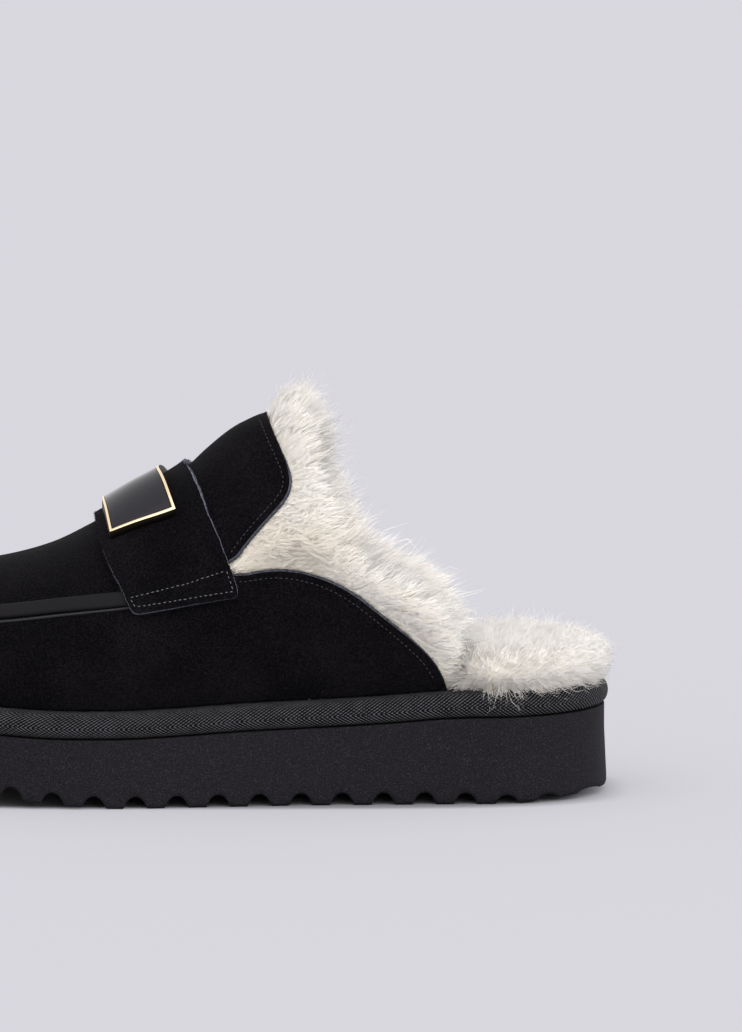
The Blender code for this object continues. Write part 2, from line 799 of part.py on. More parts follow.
def lining_depths(run, angle, start):
    """Outer and inner depth of the fleece. It lies close under the suede, puffs out past the suede's cut edge, and
    rounds off to its end."""
    level = skin(run, angle).z - floor_of_upper(run)
    under = WALL + 3 * GAP
    free = beyond_topline(run, level)
    puff = mix(CUFF_PUFF, CREST_PUFF, smooth(math.sin(angle), 0.80, 0.99))
    if level > STRAP_FOOT_REAR * INSTEP_RISE:
        puff *= smooth(strap_rear(run, angle) - run, STRAP_PUFF_FROM, STRAP_PUFF_FULL)
    outer = mix(under, -puff, smooth(free, PUFF_FROM, PUFF_FULL))
    inner = under + LINING_PILE
    fullness = rounded((run - start) / CUFF_ROUNDING, 2.0)
    centre = 0.5 * (outer + inner)
    return mix(centre, outer, fullness), mix(centre, inner, fullness)


def cuff_start(angle):
    """Run at which the fleece ends on this line round the upper."""
    low, high = UPPER_START * SOLE_LENGTH, 0.5 * SOLE_LENGTH
    for _ in range(40):
        run = 0.5 * (low + high)
        level = skin(run, angle).z - floor_of_upper(run)
        if run < along(CUFF, "station", level / INSTEP_RISE) * SOLE_LENGTH:
            low = run
        else:
            high = run
    return run


def tuft(bm, faces, length):
    """A lock of fleece on each face: a point over its middle that leans towards the heel, no two quite alike."""
    locks = bmesh.ops.poke(bm, faces=faces, offset=0.75 * length, center_mode="MEAN")
    golden = 0.618034
    for k, vert in enumerate(locks["verts"]):
        vert.co += vert.normal * (0.25 * length * (k * golden % 1.0))
        vert.co.x += 0.5 * length * (k * k * golden % 1.0)


def lining(collection, cutters):
    """The sheepskin lining: fleece under the whole upper, with an open tufted cuff past its cut edge."""
    bm = bmesh.new()
    deepest = WALL + 3 * GAP + LINING_PILE
    angles = [math.pi * j / UPPER_ANGLES for j in range(UPPER_ANGLES + 1)]
    columns = []
    for angle in angles:
        start = cuff_start(angle)
        first = start + CUFF_STEPS[-1]
        runs = [start + step for step in CUFF_STEPS]
        straight = TOE_ROUND * SOLE_LENGTH
        places = []
        for depth in (0, 1):
            end = tip(deepest if depth else deepest - LINING_PILE)
            turn = end - straight
            steps = LINING_STEPS // 2
            column = runs + [mix(first, turn, (k + 1) / steps) for k in range(steps)]
            column += toe_runs(turn, end, LINING_STEPS - steps)
            places.append([skin(run, angle, lining_depths(run, angle, start)[depth]) for run in column])
        columns.append(places)
    sheets = []
    for depth in (0, 1):
        rows = [[bm.verts.new(point) for point in row] for row in zip(*[places[depth] for places in columns])]
        sheets.append(rows)
    outside, inside = sheets
    outer_faces = sheet(bm, outside)
    inner_faces = sheet(bm, inside)
    for j in (0, UPPER_ANGLES):
        sheet(bm, ([row[j] for row in outside], [row[j] for row in inside]))
    bmesh.ops.remove_doubles(bm, verts=bm.verts, dist=1e-6)
    bmesh.ops.recalc_face_normals(bm, faces=bm.faces)
    rim = FOOTBED_PILE + LOCK_LENGTH
    tuft(bm, [face for face in outer_faces if face.is_valid and is_free(face, LOCKS_OUTSIDE_FROM, rim)], LOCK_LENGTH)
    tuft(bm, [face for face in inner_faces if face.is_valid and is_free(face, LOCKS_INSIDE_FROM, rim)], LOCK_LENGTH)
    fleece = add_object("lining_fleece", bm, collection, sharp=80)
    suede = add_object("suede and its clearance", shell(0.0, -2 * LOCK_LENGTH, WALL + GAP, CUTTER_FOOT), cutters)
    cut(suede, opening_cutter("grown opening", GAP, cutters))
    cut(fleece, suede)
    paint(fleece, "cream sheepskin", (0.75, 0.71, 0.64), 1.0)


def is_free(face, distance, level):
    """Whether a face of the cuff is this far past the suede's edge, above a level, and clear of the strap."""
    middle_point = face.calc_center_median()
    run = x_at(middle_point.x)
    height = middle_point.z - floor_of_upper(run)
    clear_of_strap = run < STRAP[-1].rear * SOLE_LENGTH - 3 * LOCK_LENGTH
    return beyond_topline(run, height) > distance and height > level and clear_of_strap


def footbed(collection):
    """The sheepskin footbed: narrow between the linings, and spread over the whole heel behind them."""
    lined = UPPER_INSET + WALL + WALL_TUCK + LINING_PILE + 8 * GAP
    shares = even_runs(0.0, 1.0, 30)

    def opened(run):
        return smooth(run, HEEL_OPENS[0] * SOLE_LENGTH, HEEL_OPENS[1] * SOLE_LENGTH)

    def outline(bulge, shorten=0.0):
        start = FOOTBED_HEEL_INSET - bulge * FOOTBED_PILE
        runs = [mix(start, SOLE_LENGTH - lined, share) for share in shares]
        halves = [half_width(run, mix(lined, start, opened(run))) for run in runs]
        return [mix(start + shorten, SOLE_LENGTH - lined - shorten, share) for share in shares], halves

    def height(level):
        return lambda run: floor_of_upper(run) + level * mix(FOOTBED_FRONT_PILE, FOOTBED_PILE, opened(run))

    rings = [ring(*outline(side.bulge), height(side.level)) for side in FOOTBED_SIDE]
    for narrow in FOOTBED_TOP:
        runs, halves = outline(FOOTBED_SIDE[-1].bulge, (1 - narrow) * BALL_WIDTH / 3)
        rings.append(ring(runs, [narrow * half for half in halves], height(1.0)))
    bm = stack(rings)
    bmesh.ops.remove_doubles(bm, verts=bm.verts, dist=1e-6)
    bmesh.ops.recalc_face_normals(bm, faces=bm.faces)
    lined_run = HEEL_OPENS[1] * SOLE_LENGTH
    open_top = [
        face for face in bm.faces
        if x_at(face.calc_center_median().x) < lined_run and face.normal.z > -0.2
    ]
    tuft(bm, open_top, 0.7 * LOCK_LENGTH)
    bed = add_object("footbed_fleece", bm, collection, sharp=80)
    paint(bed, "cream sheepskin", (0.75, 0.71, 0.64), 1.0)


def build():
    for thing in list(bpy.data.objects):
        bpy.data.objects.remove(thing)
    slipper = bpy.data.collections.new("clog slipper")
    cutters = bpy.data.collections.new("cutters")
    bpy.context.scene.collection.children.link(slipper)
    bpy.context.scene.collection.children.link(cutters)
    platform_sole(slipper)
    wrapped_midsole(slipper)
    footbed(slipper)
    upper(slipper, cutters)
    lining(slipper, cutters)
    apron_trim(slipper, cutters)
    saddle_strap(slipper)
    plaque(slipper)


build()
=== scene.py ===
"""Platform clog slipper, left shoe: black suede, cream sheepskin, woven tape and a charcoal foam platform.

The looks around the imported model, in the order in which the shoe is put together. Metres, +Z up, the toe
towards -X.
"""

import math
from collections import namedtuple

import bmesh
import bpy
import numpy as np
from mathutils import Matrix, Vector
from mathutils.kdtree import KDTree


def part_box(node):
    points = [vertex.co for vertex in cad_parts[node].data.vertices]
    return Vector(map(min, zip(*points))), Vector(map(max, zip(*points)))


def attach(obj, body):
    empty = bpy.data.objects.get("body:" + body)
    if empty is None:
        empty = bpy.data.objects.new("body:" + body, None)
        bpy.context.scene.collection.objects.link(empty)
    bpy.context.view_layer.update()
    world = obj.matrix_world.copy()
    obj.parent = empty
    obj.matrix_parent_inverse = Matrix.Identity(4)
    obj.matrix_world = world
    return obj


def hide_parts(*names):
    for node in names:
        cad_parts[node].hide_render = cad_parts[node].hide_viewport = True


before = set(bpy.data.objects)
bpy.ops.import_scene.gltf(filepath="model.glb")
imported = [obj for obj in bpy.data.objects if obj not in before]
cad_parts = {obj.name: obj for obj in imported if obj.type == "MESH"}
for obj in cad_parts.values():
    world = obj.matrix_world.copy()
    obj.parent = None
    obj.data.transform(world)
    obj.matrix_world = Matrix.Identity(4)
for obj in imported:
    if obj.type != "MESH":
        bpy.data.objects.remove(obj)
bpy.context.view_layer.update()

# Studio: a pale matt floor to the horizon, which glows except under the shoe, where the glow fades out as a
# painted shadow under and round it; a soft room light and two wide lamps in front, a weak one high at the toe
# and a strong one low at the heel. The long-lens camera stands low beside the outer side of the shoe, as the
# photographer's did.

FLOOR_HALF = 200.0
PALE = (0.700, 0.693, 0.737)
FLOOR_GLOW = 0.465
FLOOR_ALBEDO = 0.228
FOOTPRINT = (0.130, 0.0485)
FOOTPRINT_SQUARENESS = 3.5
GLOW_STARTS, GLOW_IS_FULL = 0.70, 1.40
ROOM_COLOUR = (0.72, 0.71, 0.73)
ROOM_LIGHT = 1.62
Lamp = namedtuple("Lamp", "way power spread")
LAMPS = [
    Lamp((0.35, 0.55, -1.00), 0.7, math.radians(55)),
    Lamp((-0.60, 0.85, -0.24), 2.8, math.radians(80)),
]
CAMERA_DISTANCE = 4.0
CAMERA_TILT = math.radians(7.0)
PIXELS_PER_METRE = 2900.0
IMAGE_WIDTH, IMAGE_HEIGHT = 742, 1032
SENSOR = 36.0
HEEL_PIXEL, FLOOR_PIXEL = 607, 810
NEAR_SIDE = -0.050


def new_material(name, roughness, colour=(0.5, 0.5, 0.5), specular=0.5, **sockets):
    """A Principled material, its other sockets set by name. Returns it with its nodes and its shader."""
    material = bpy.data.materials.new(name)
    material.use_nodes = True
    tree = material.node_tree
    shader = tree.nodes["Principled BSDF"]
    values = {"Base Color": (*colour, 1.0), "Roughness": roughness, "Specular IOR Level": specular}
    values.update({socket.replace("_", " ").title(): value for socket, value in sockets.items()})
    for socket, value in values.items():
        shader.inputs[socket].default_value = value
    return material, tree, shader


def add_node(tree, kind, inputs=None, **properties):
    """A shader node with its properties, and with the values of its inputs by name or number."""
    node = tree.nodes.new(kind)
    for key, value in properties.items():
        setattr(node, key, value)
    for key, value in (inputs or {}).items():
        node.inputs[key].default_value = value
    return node


def math_node(tree, operation, first, second=None):
    """A Math node on sockets or numbers."""
    node = add_node(tree, "ShaderNodeMath", operation=operation)
    for k, value in enumerate((first, second)):
        if isinstance(value, (int, float)):
            node.inputs[k].default_value = value
        elif value is not None:
            tree.links.new(value, node.inputs[k])
    return node.outputs["Value"]


def object_place(tree):
    """The place on the object, in metres."""
    return tree.nodes.new("ShaderNodeTexCoord").outputs["Object"]


def split_vector(tree, vector):
    """The three values of a vector."""
    node = tree.nodes.new("ShaderNodeSeparateXYZ")
    tree.links.new(vector, node.inputs["Vector"])
    return node.outputs


def ramp(tree, factor, stops):
    """A colour ramp on a factor, from a list of position and colour."""
    node = tree.nodes.new("ShaderNodeValToRGB")
    elements = node.color_ramp.elements
    while len(elements) < len(stops):
        elements.new(0.5)
    for element, (position, colour) in zip(elements, stops):
        element.position = position
        element.color = (*colour, 1.0)
    tree.links.new(factor, node.inputs["Fac"])
    return node.outputs["Color"]


def noise(tree, scale, detail=2.0, roughness=0.5):
    """Noise over the object's own coordinates."""
    inputs = {"Scale": scale, "Detail": detail, "Roughness": roughness}
    node = add_node(tree, "ShaderNodeTexNoise", inputs)
    tree.links.new(object_place(tree), node.inputs["Vector"])
    return node.outputs["Fac"]


def bump(tree, shader, height, strength, distance, below=None):
    """Adds a bump layer to the shader, over an earlier layer if one is given, and returns its normal."""
    node = add_node(tree, "ShaderNodeBump", {"Strength": strength, "Distance": distance})
    tree.links.new(height, node.inputs["Height"])
    if below:
        tree.links.new(below, node.inputs["Normal"])
    tree.links.new(node.outputs["Normal"], shader.inputs["Normal"])
    return node.outputs["Normal"]


def scene_object(name, data):
    """Puts a mesh, lamp or camera into the scene, at the origin."""
    made = bpy.data.objects.new(name, data)
    bpy.context.scene.collection.objects.link(made)
    return made


def finish_mesh(bm, name, material, sharp=None, rideable=True):
    """Turns a bmesh into an object, smooth shaded up to the sharp angle in degrees."""
    mesh = bpy.data.meshes.new(name)
    bm.to_mesh(mesh)
    bm.free()
    mesh.materials.append(material)
    mesh.shade_smooth()
    if sharp:
        mesh.set_sharp_from_angle(angle=math.radians(sharp))
    piece = scene_object(name, mesh)
    if rideable:
        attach(piece, "root")
    return piece


floor_colour = tuple(FLOOR_ALBEDO * c / PALE[0] for c in PALE)
floor_paint, tree, shader = new_material("pale floor", 1.0, floor_colour, 0.0, emission_color=(*PALE, 1.0))
# The glow fades out over the footprint, so the floor there lies in painted shadow under and round the shoe.
shares = add_node(
    tree, "ShaderNodeVectorMath", {1: (1 / FOOTPRINT[0], 1 / FOOTPRINT[1], 0.0)}, operation="MULTIPLY"
)
tree.links.new(object_place(tree), shares.inputs[0])
powers = [
    math_node(tree, "POWER", math_node(tree, "ABSOLUTE", share), FOOTPRINT_SQUARENESS)
    for share in split_vector(tree, shares.outputs["Vector"])[:2]
]
glow_range = {"From Min": GLOW_STARTS, "From Max": GLOW_IS_FULL, "To Min": 0.0, "To Max": FLOOR_GLOW}
glow = add_node(tree, "ShaderNodeMapRange", glow_range, interpolation_type="SMOOTHSTEP")
tree.links.new(math_node(tree, "ADD", *powers), glow.inputs["Value"])
tree.links.new(glow.outputs["Result"], shader.inputs["Emission Strength"])
bm = bmesh.new()
bmesh.ops.create_grid(bm, x_segments=2, y_segments=2, size=FLOOR_HALF)
studio_floor = finish_mesh(bm, "studio_floor", floor_paint, rideable=False)

world = bpy.data.worlds.new("studio")
bpy.context.scene.world = world
world.use_nodes = True
room = world.node_tree.nodes["Background"]
room.inputs["Color"].default_value = (*ROOM_COLOUR, 1.0)
room.inputs["Strength"].default_value = ROOM_LIGHT

for way, power, spread in LAMPS:
    lamp = bpy.data.lights.new("soft lamp", "SUN")
    lamp.energy = power
    lamp.angle = spread
    scene_object("soft lamp", lamp).rotation_euler = Vector(way).to_track_quat("-Z", "Y").to_euler()

bpy.context.scene.view_settings.view_transform = "Standard"

heel_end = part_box("platform_sole")[1].x
aim = Vector((
    heel_end - (HEEL_PIXEL - IMAGE_WIDTH / 2) / PIXELS_PER_METRE * (1 - NEAR_SIDE / CAMERA_DISTANCE),
    NEAR_SIDE,
    (FLOOR_PIXEL - IMAGE_HEIGHT / 2) / PIXELS_PER_METRE / math.cos(CAMERA_TILT),
))
camera = bpy.data.cameras.new("camera")
camera.sensor_width = SENSOR
camera.lens = SENSOR * CAMERA_DISTANCE * PIXELS_PER_METRE / IMAGE_HEIGHT
camera_object = scene_object("camera", camera)
towards_camera = Vector((0.0, -math.cos(CAMERA_TILT), math.sin(CAMERA_TILT)))
camera_object.location = aim + CAMERA_DISTANCE * towards_camera
camera_object.rotation_euler = (-towards_camera).to_track_quat("-Z", "Y").to_euler()
bpy.context.scene.camera = camera_object

# Platform sole: one block of charcoal moulded foam with a fine pale speckle, matt all over, with round-topped
# grooves moulded across its tread, a slight bevel at the heel and the spring of the toe.

SOLE_LENGTH = 0.266
BALL_WIDTH = 0.102
HEEL_FOAM = 0.0306
BALL_FOAM = 0.0240
TOE_RISE = 0.0085
FOAM_FLARE = 0.0008
FOAM_EDGE = 0.0012
GROOVE_PITCH = 0.0143
GROOVE_WIDTH = 0.0080
GROOVE_DEPTH = 0.0041
FIRST_GROOVE = 0.0058
GROOVE_SHOULDER = 2.2
GROOVE_FLARE = 0.8
HEEL_GROOVE_SHARE = 0.25
FULL_GROOVES_FROM = 0.060
HEEL_BEVEL = 0.0020
FLAT_FROM = 0.15
TOE_SPRING = 0.0135
SPRING_FROM = 0.63
SPRING_POWER = 1.5
FOAM_COLOUR = (0.0048, 0.0040, 0.0058)
FOAM_SPECK_COLOUR = (0.028, 0.025, 0.031)

Plan = namedtuple("Plan", "station half_width middle")
PLAN = [
    Plan(0.00, 0.372, 0.000),
    Plan(0.15, 0.374, -0.003),
    Plan(0.35, 0.376, -0.026),
    Plan(0.50, 0.410, -0.034),
    Plan(0.62, 0.468, -0.024),
    Plan(0.71, 0.497, -0.008),
    Plan(0.80, 0.494, 0.008),
    Plan(0.90, 0.465, 0.030),
    Plan(1.00, 0.415, 0.050),
]
HEEL_ROUND = 0.150
TOE_ROUND = 0.300
TOE_SQUARENESS = 2.25
Deck = namedtuple("Deck", "station heel toe")
DECK = [
    Deck(0.00, 1.00, 0.00),
    Deck(0.08, 0.93, 0.00),
    Deck(0.19, 0.88, 0.00),
    Deck(0.29, 0.62, 0.00),
    Deck(0.38, 0.43, 0.00),
    Deck(0.47, 0.30, 0.00),
    Deck(0.56, 0.10, 0.00),
    Deck(0.64, 0.00, 0.00),
    Deck(0.71, 0.00, 0.02),
    Deck(0.79, 0.00, 0.14),
    Deck(0.87, 0.00, 0.38),
    Deck(1.00, 0.00, 1.00),
]


def along(rows, column, at):
    """A table's column at a value of its first column, by cubic pieces that never overshoot the rows."""
    keys = [row[0] for row in rows]
    values = [getattr(row, column) for row in rows]
    if at <= keys[0]:
        return values[0]
    if at >= keys[-1]:
        return values[-1]
    slopes = [(values[i + 1] - values[i]) / (keys[i + 1] - keys[i]) for i in range(len(rows) - 1)]

    def tangent(k):
        if k == 0:
            return slopes[0]
        if k == len(rows) - 1:
            return slopes[-1]
        if slopes[k - 1] * slopes[k] <= 0:
            return 0.0
        return 2 * slopes[k - 1] * slopes[k] / (slopes[k - 1] + slopes[k])

    i = max(k for k in range(len(rows) - 1) if keys[k] <= at)
    step = keys[i + 1] - keys[i]
    t = (at - keys[i]) / step
    return (
        (2 * t**3 - 3 * t**2 + 1) * values[i]
        + (t**3 - 2 * t**2 + t) * step * tangent(i)
        + (3 * t**2 - 2 * t**3) * values[i + 1]
        + (t**3 - t**2) * step * tangent(i + 1)
    )


def mix(a, b, share):
    """The value that share of the way from a to b."""
    return a + (b - a) * share


def smooth(value, low, high):
    """A share that goes from 0 at low to 1 at high with soft ends."""
    t = min(1.0, max(0.0, (value - low) / (high - low)))
    return t * t * (3 - 2 * t)


def rounded(share, power):
    """Height of a round end: 0 at its tip and 1 where it meets the rest, and squarer the higher the power."""
    return (1 - (1 - min(1.0, max(0.0, share))) ** power) ** (1 / power)


def crowded(share):
    """An even share made to crowd towards both ends."""
    return 0.5 * (1 - math.cos(math.pi * share))


def x_at(run):
    """World x at a run, which is the length from the sole's heel end."""
    return SOLE_LENGTH / 2 - run


def half_width(run, inset):
    """Half the sole's width at a run, inside its outline by an inset."""
    heel = rounded((run - inset) / (HEEL_ROUND * SOLE_LENGTH - inset), 2.0)
    toe = rounded((SOLE_LENGTH - inset - run) / (TOE_ROUND * SOLE_LENGTH - inset), TOE_SQUARENESS)
    return (along(PLAN, "half_width", run / SOLE_LENGTH) * BALL_WIDTH - inset) * heel * toe


def middle(run):
    """World y of the sole's middle line, which curves towards the inner side."""
    return along(PLAN, "middle", run / SOLE_LENGTH) * BALL_WIDTH


def deck(run):
    """Height of the foam's top face."""
    heel = (HEEL_FOAM - BALL_FOAM) * along(DECK, "heel", run / SOLE_LENGTH)
    return BALL_FOAM + heel + TOE_RISE * along(DECK, "toe", run / SOLE_LENGTH)


def grid_surface(columns, rows, place_at, cloth_at=None):
    """A grid whose vertices are put by place_at(u, v), both from 0 to 1. Its UV map holds cloth_at(u, v)."""
    bm = bmesh.new()
    bmesh.ops.create_grid(bm, x_segments=columns, y_segments=rows, size=0.5)
    shares = {vert: (vert.co.x + 0.5, vert.co.y + 0.5) for vert in bm.verts}
    layer = bm.loops.layers.uv.new("cloth")
    for face in bm.faces:
        for loop in face.loops:
            u, v = shares[loop.vert]
            loop[layer].uv = cloth_at(u, v) if cloth_at else (u, v)
    for vert, (u, v) in shares.items():
        vert.co = place_at(u, v)
    return bm


foam, tree, shader = new_material("charcoal foam", 0.75, FOAM_COLOUR, 0.14)
specks = noise(tree, 2600, 2.0, 0.6)
colour = ramp(tree, specks, [
    (0.35, tuple(0.55 * c for c in FOAM_COLOUR)),
    (0.52, FOAM_COLOUR),
    (0.72, FOAM_SPECK_COLOUR),
])
tree.links.new(colour, shader.inputs["Base Color"])
normal = bump(tree, shader, noise(tree, 160, 3.0), 0.25, 0.0006)
bump(tree, shader, specks, 0.5, 0.0003, normal)


def tread(run):
    """Underside of the foam: the heel's bevel, the toe's spring and the grooves."""
    station = run / SOLE_LENGTH
    spring = max(0.0, (station - SPRING_FROM) / (1 - SPRING_FROM)) ** SPRING_POWER
    lift = HEEL_BEVEL * smooth(station, FLAT_FROM, 0.0) + TOE_SPRING * spring
    off_groove = (run - FIRST_GROOVE + GROOVE_PITCH / 2) % GROOVE_PITCH - GROOVE_PITCH / 2
    across = abs(off_groove) / (GROOVE_WIDTH / 2)
    if run < FIRST_GROOVE - GROOVE_WIDTH or run > SOLE_LENGTH - FIRST_GROOVE:
        across = 1.0
    depth = GROOVE_DEPTH * mix(HEEL_GROOVE_SHARE, 1.0, smooth(run, 0.0, FULL_GROOVES_FROM))
    return lift + depth * (1 - min(1.0, across) ** GROOVE_SHOULDER) ** GROOVE_FLARE


SOLE_COLUMNS = 520
SOLE_END_CROWDING = 0.35
# Rows of the foam's section, each a side, an inset and a share of the way up.
foam_rows = [(-1.0, 0.0, 1.0), (-1.0, 0.0, 0.7), (-1.0, -FOAM_FLARE, 0.10), (-1.0, -FOAM_FLARE, 0.04)]
foam_rows += [(-1.0, -0.6 * FOAM_FLARE, 0.012), (-1.0, FOAM_EDGE - FOAM_FLARE, 0.0), (-0.5, FOAM_EDGE, 0.0)]
foam_rows += [(-side, inset, share) for side, inset, share in foam_rows[::-1]] + [(-1.0, 0.0, 1.0)]


def foam_point(u, v):
    side, inset, rise = foam_rows[round(v * (len(foam_rows) - 1))]
    run = mix(inset, SOLE_LENGTH - inset, mix(u, crowded(u), SOLE_END_CROWDING))
    return Vector((x_at(run), middle(run) + side * half_width(run, inset), mix(tread(run), deck(run), rise)))


bm = grid_surface(SOLE_COLUMNS, len(foam_rows) - 1, foam_point)
bmesh.ops.remove_doubles(bm, verts=bm.verts, dist=1e-6)
bmesh.ops.recalc_face_normals(bm, faces=bm.faces)
sole = finish_mesh(bm, "foam_platform", foam, 50)
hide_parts("platform_sole")

# Wrapped midsole: a board with a rounded edge, wrapped in black herringbone tape that is turned under at the
# top and bottom. The weave runs round the shoe in two columns whose ribs slant opposite ways.

TAPE_HEIGHT = 0.0088
TAPE_BULGE = 0.0013
TAPE_LAP = 0.0105
GAP = 0.0003
RIB_PITCH = 0.00160
THREAD_PITCH = 0.00200
RIB_SHARE, THREAD_SHARE = 0.48, 0.24
RIB_SLANT = 1.5
TAPE_COLUMN = 0.0058
COLUMN_START = 0.0022
WEAVE_GAP_SHADE = (0.0006, 0.0006, 0.0008)
THREAD_CROWN_HIGHLIGHT = (0.0950, 0.0955, 0.1060)
TAPE_UNEVENNESS = 0.5

Roll = namedtuple("Roll", "level reach")
TAPE_ROLL = [
    Roll(0.00, -1.60),
    Roll(0.06, -0.30),
    Roll(0.26, 0.75),
    Roll(0.50, 1.00),
    Roll(0.74, 0.62),
    Roll(0.92, -0.50),
    Roll(1.00, -2.40),
]


def running_lengths(points):
    """Distances along a line of points, from 0 at the first."""
    lengths = [0.0]
    for before, after in zip(points, points[1:]):
        lengths.append(lengths[-1] + (after - before).length)
    return lengths


def rim_path(count):
    """Shares of the way round the outline, from the heel along the outer side to the toe and back along the
    inner side, as a list of length share, side and distance in metres."""
    steps = [0.5 * (1 - math.cos(math.pi * k / count)) for k in range(count + 1)]
    path = [(share, -1) for share in steps] + [(share, 1) for share in steps[-2::-1]]
    points = []
    for share, side in path:
        run = share * SOLE_LENGTH
        points.append(Vector((x_at(run), side * half_width(run, 0.0) + middle(run))))
    return [(share, side, length) for (share, side), length in zip(path, running_lengths(points))]


TAPE_STEPS = 110
tape_path = rim_path(TAPE_STEPS)
roll_levels = (0.0, 0.03, 0.08, 0.16, 0.27, 0.38, 0.5, 0.62, 0.74, 0.84, 0.92, 0.97, 1.0)
# Rows of the tape's section, each a reach in bulges and a level, with both laps of the board's faces.
roll_sections = [(-TAPE_LAP / TAPE_BULGE, 0.0)]
roll_sections += [(along(TAPE_ROLL, "reach", level), level) for level in roll_levels]
roll_sections += [(-TAPE_LAP / TAPE_BULGE * 0.6, 1.0), (-TAPE_LAP / TAPE_BULGE, 1.0)]
roll_lengths = [0.0]
for (reach_a, level_a), (reach_b, level_b) in zip(roll_sections, roll_sections[1:]):
    step = math.hypot((reach_b - reach_a) * TAPE_BULGE, (level_b - level_a) * TAPE_HEIGHT)
    roll_lengths.append(roll_lengths[-1] + step)


def tape_point(u, v):
    share, side, _ = tape_path[round(u * 2 * TAPE_STEPS)]
    reach, level = roll_sections[round(v * (len(roll_sections) - 1))]
    inset = -reach * TAPE_BULGE
    run = mix(inset, SOLE_LENGTH - inset, share)
    y = middle(run) + side * half_width(run, inset)
    return Vector((x_at(run), y, deck(run) + GAP + level * TAPE_HEIGHT))


def tape_cloth(u, v):
    return tape_path[round(u * 2 * TAPE_STEPS)][2], roll_lengths[round(v * (len(roll_sections) - 1))]


tape_weave, tree, shader = new_material("woven tape", 0.65, specular=0.12)
lengthwise, crosswise, _ = split_vector(tree, add_node(tree, "ShaderNodeUVMap", uv_map="cloth").outputs["UV"])
column = math_node(tree, "PINGPONG", math_node(tree, "SUBTRACT", crosswise, COLUMN_START), TAPE_COLUMN)
slant = math_node(tree, "MULTIPLY", column, RIB_SLANT)
waves = []
for operation, pitch, share in (("ADD", RIB_PITCH, RIB_SHARE), ("SUBTRACT", THREAD_PITCH, THREAD_SHARE)):
    phase = math_node(tree, "MULTIPLY", math_node(tree, operation, lengthwise, slant), 2 * math.pi / pitch)
    waves.append(math_node(tree, "MULTIPLY", math_node(tree, "SINE", phase), share))
weave = math_node(tree, "ADD", math_node(tree, "ADD", *waves), 0.5)
uneven = math_node(tree, "MULTIPLY", noise(tree, 260, 2.0), TAPE_UNEVENNESS)
tint = math_node(tree, "SUBTRACT", math_node(tree, "ADD", weave, uneven), 0.5 * TAPE_UNEVENNESS)
# The weave's dark and pale are painted light on the black tape: the threads' crowns in painted highlight and
# the gaps between them in painted shade.
tree.links.new(ramp(tree, tint, [(0.62, WEAVE_GAP_SHADE), (0.86, THREAD_CROWN_HIGHLIGHT)]), shader.inputs["Base Color"])
bump(tree, shader, weave, 1.0, 0.0008)

bm = grid_surface(2 * TAPE_STEPS, len(roll_sections) - 1, tape_point, tape_cloth)
bmesh.ops.remove_doubles(bm, verts=bm.verts, dist=1e-6)
bmesh.ops.triangle_fill(bm, edges=[edge for edge in bm.edges if edge.is_boundary], use_beauty=True)
bmesh.ops.recalc_face_normals(bm, faces=bm.faces)
tape = finish_mesh(bm, "wrapped_board", tape_weave, 70)
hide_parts("wrapped_midsole")

# Footbed: a thick sheepskin insole on the midsole. It fills the shoe between the linings, and behind them the
# fleece spreads over the open heel, is pinched at the tape and bulges over it. A cream core carries the loose
# wool.

FOOTBED_PILE = 0.0104
FOOTBED_FRONT_PILE = 0.0075
FOOTBED_HEEL_INSET = 0.0050
FOOTBED_BULGE = 0.17
FOOTBED_LINED_INSET = 0.0150
HEEL_OPENS = (0.200, 0.160)
FOOTBED_WOOL = 0.0082
FOOTBED_STRANDS = 41000
FOOTBED_OUTWARD = 0.75
REARWARD_FROM, REARWARD_OVER = 0.12, 0.03
WOOL_ROOT = (0.996, 0.944, 0.830)
WOOL_TIP = (0.905, 0.878, 0.832)
WOOL_CORE = (0.996, 0.948, 0.845)
WOOL_WARM_TINT = (0.982, 0.928, 0.835)
WOOL_PALE_TINT = (1.0, 0.993, 0.978)
WOOL_GLOW_REACH = 0.0012
STRAND_WIDTH = 0.000075
STRANDS_IN_LOCK = 26
LOCK_GATHER = 0.36
LOCK_LEAN, STRAND_LEAN = 0.13, 0.18
STRAND_BOW = 0.16
STRAY_SHARE = 0.12
STRAY_LENGTH, STRAY_LEAN, STRAY_GATHER = 1.35, 2.2, 0.15


def floor_of_upper(run):
    """Height on which the footbed and the upper stand."""
    return deck(run) + TAPE_HEIGHT + 2 * GAP


def wool_material(name, core=False):
    """Cream sheepskin wool: warmer at the root, greyer at the tip, each strand a little different."""
    wool, tree, shader = new_material(
        name, 0.9, WOOL_CORE, 0.15, sheen_weight=0.25, sheen_roughness=0.6, subsurface_weight=0.12,
        subsurface_radius=(1.0, 0.9, 0.75), subsurface_scale=WOOL_GLOW_REACH,
    )
    if core:
        bump(tree, shader, noise(tree, 900, 3.0), 0.3, 0.0006)
        return wool
    chance, grown, _ = split_vector(tree, add_node(tree, "ShaderNodeUVMap", uv_map="OFBake").outputs["UV"])
    growth = ramp(tree, grown, [(0.0, WOOL_ROOT), (0.55, WOOL_TIP)])
    tint = ramp(tree, chance, [(0.0, WOOL_WARM_TINT), (0.5, WOOL_PALE_TINT)])
    blend = add_node(tree, "ShaderNodeMix", {0: 1.0}, data_type="RGBA", blend_type="MULTIPLY")
    tree.links.new(growth, blend.inputs[6])
    tree.links.new(tint, blend.inputs[7])
    tree.links.new(blend.outputs[2], shader.inputs["Base Color"])
    return wool


wool_core = wool_material("sheepskin core", core=True)
wool = wool_material("sheepskin wool")


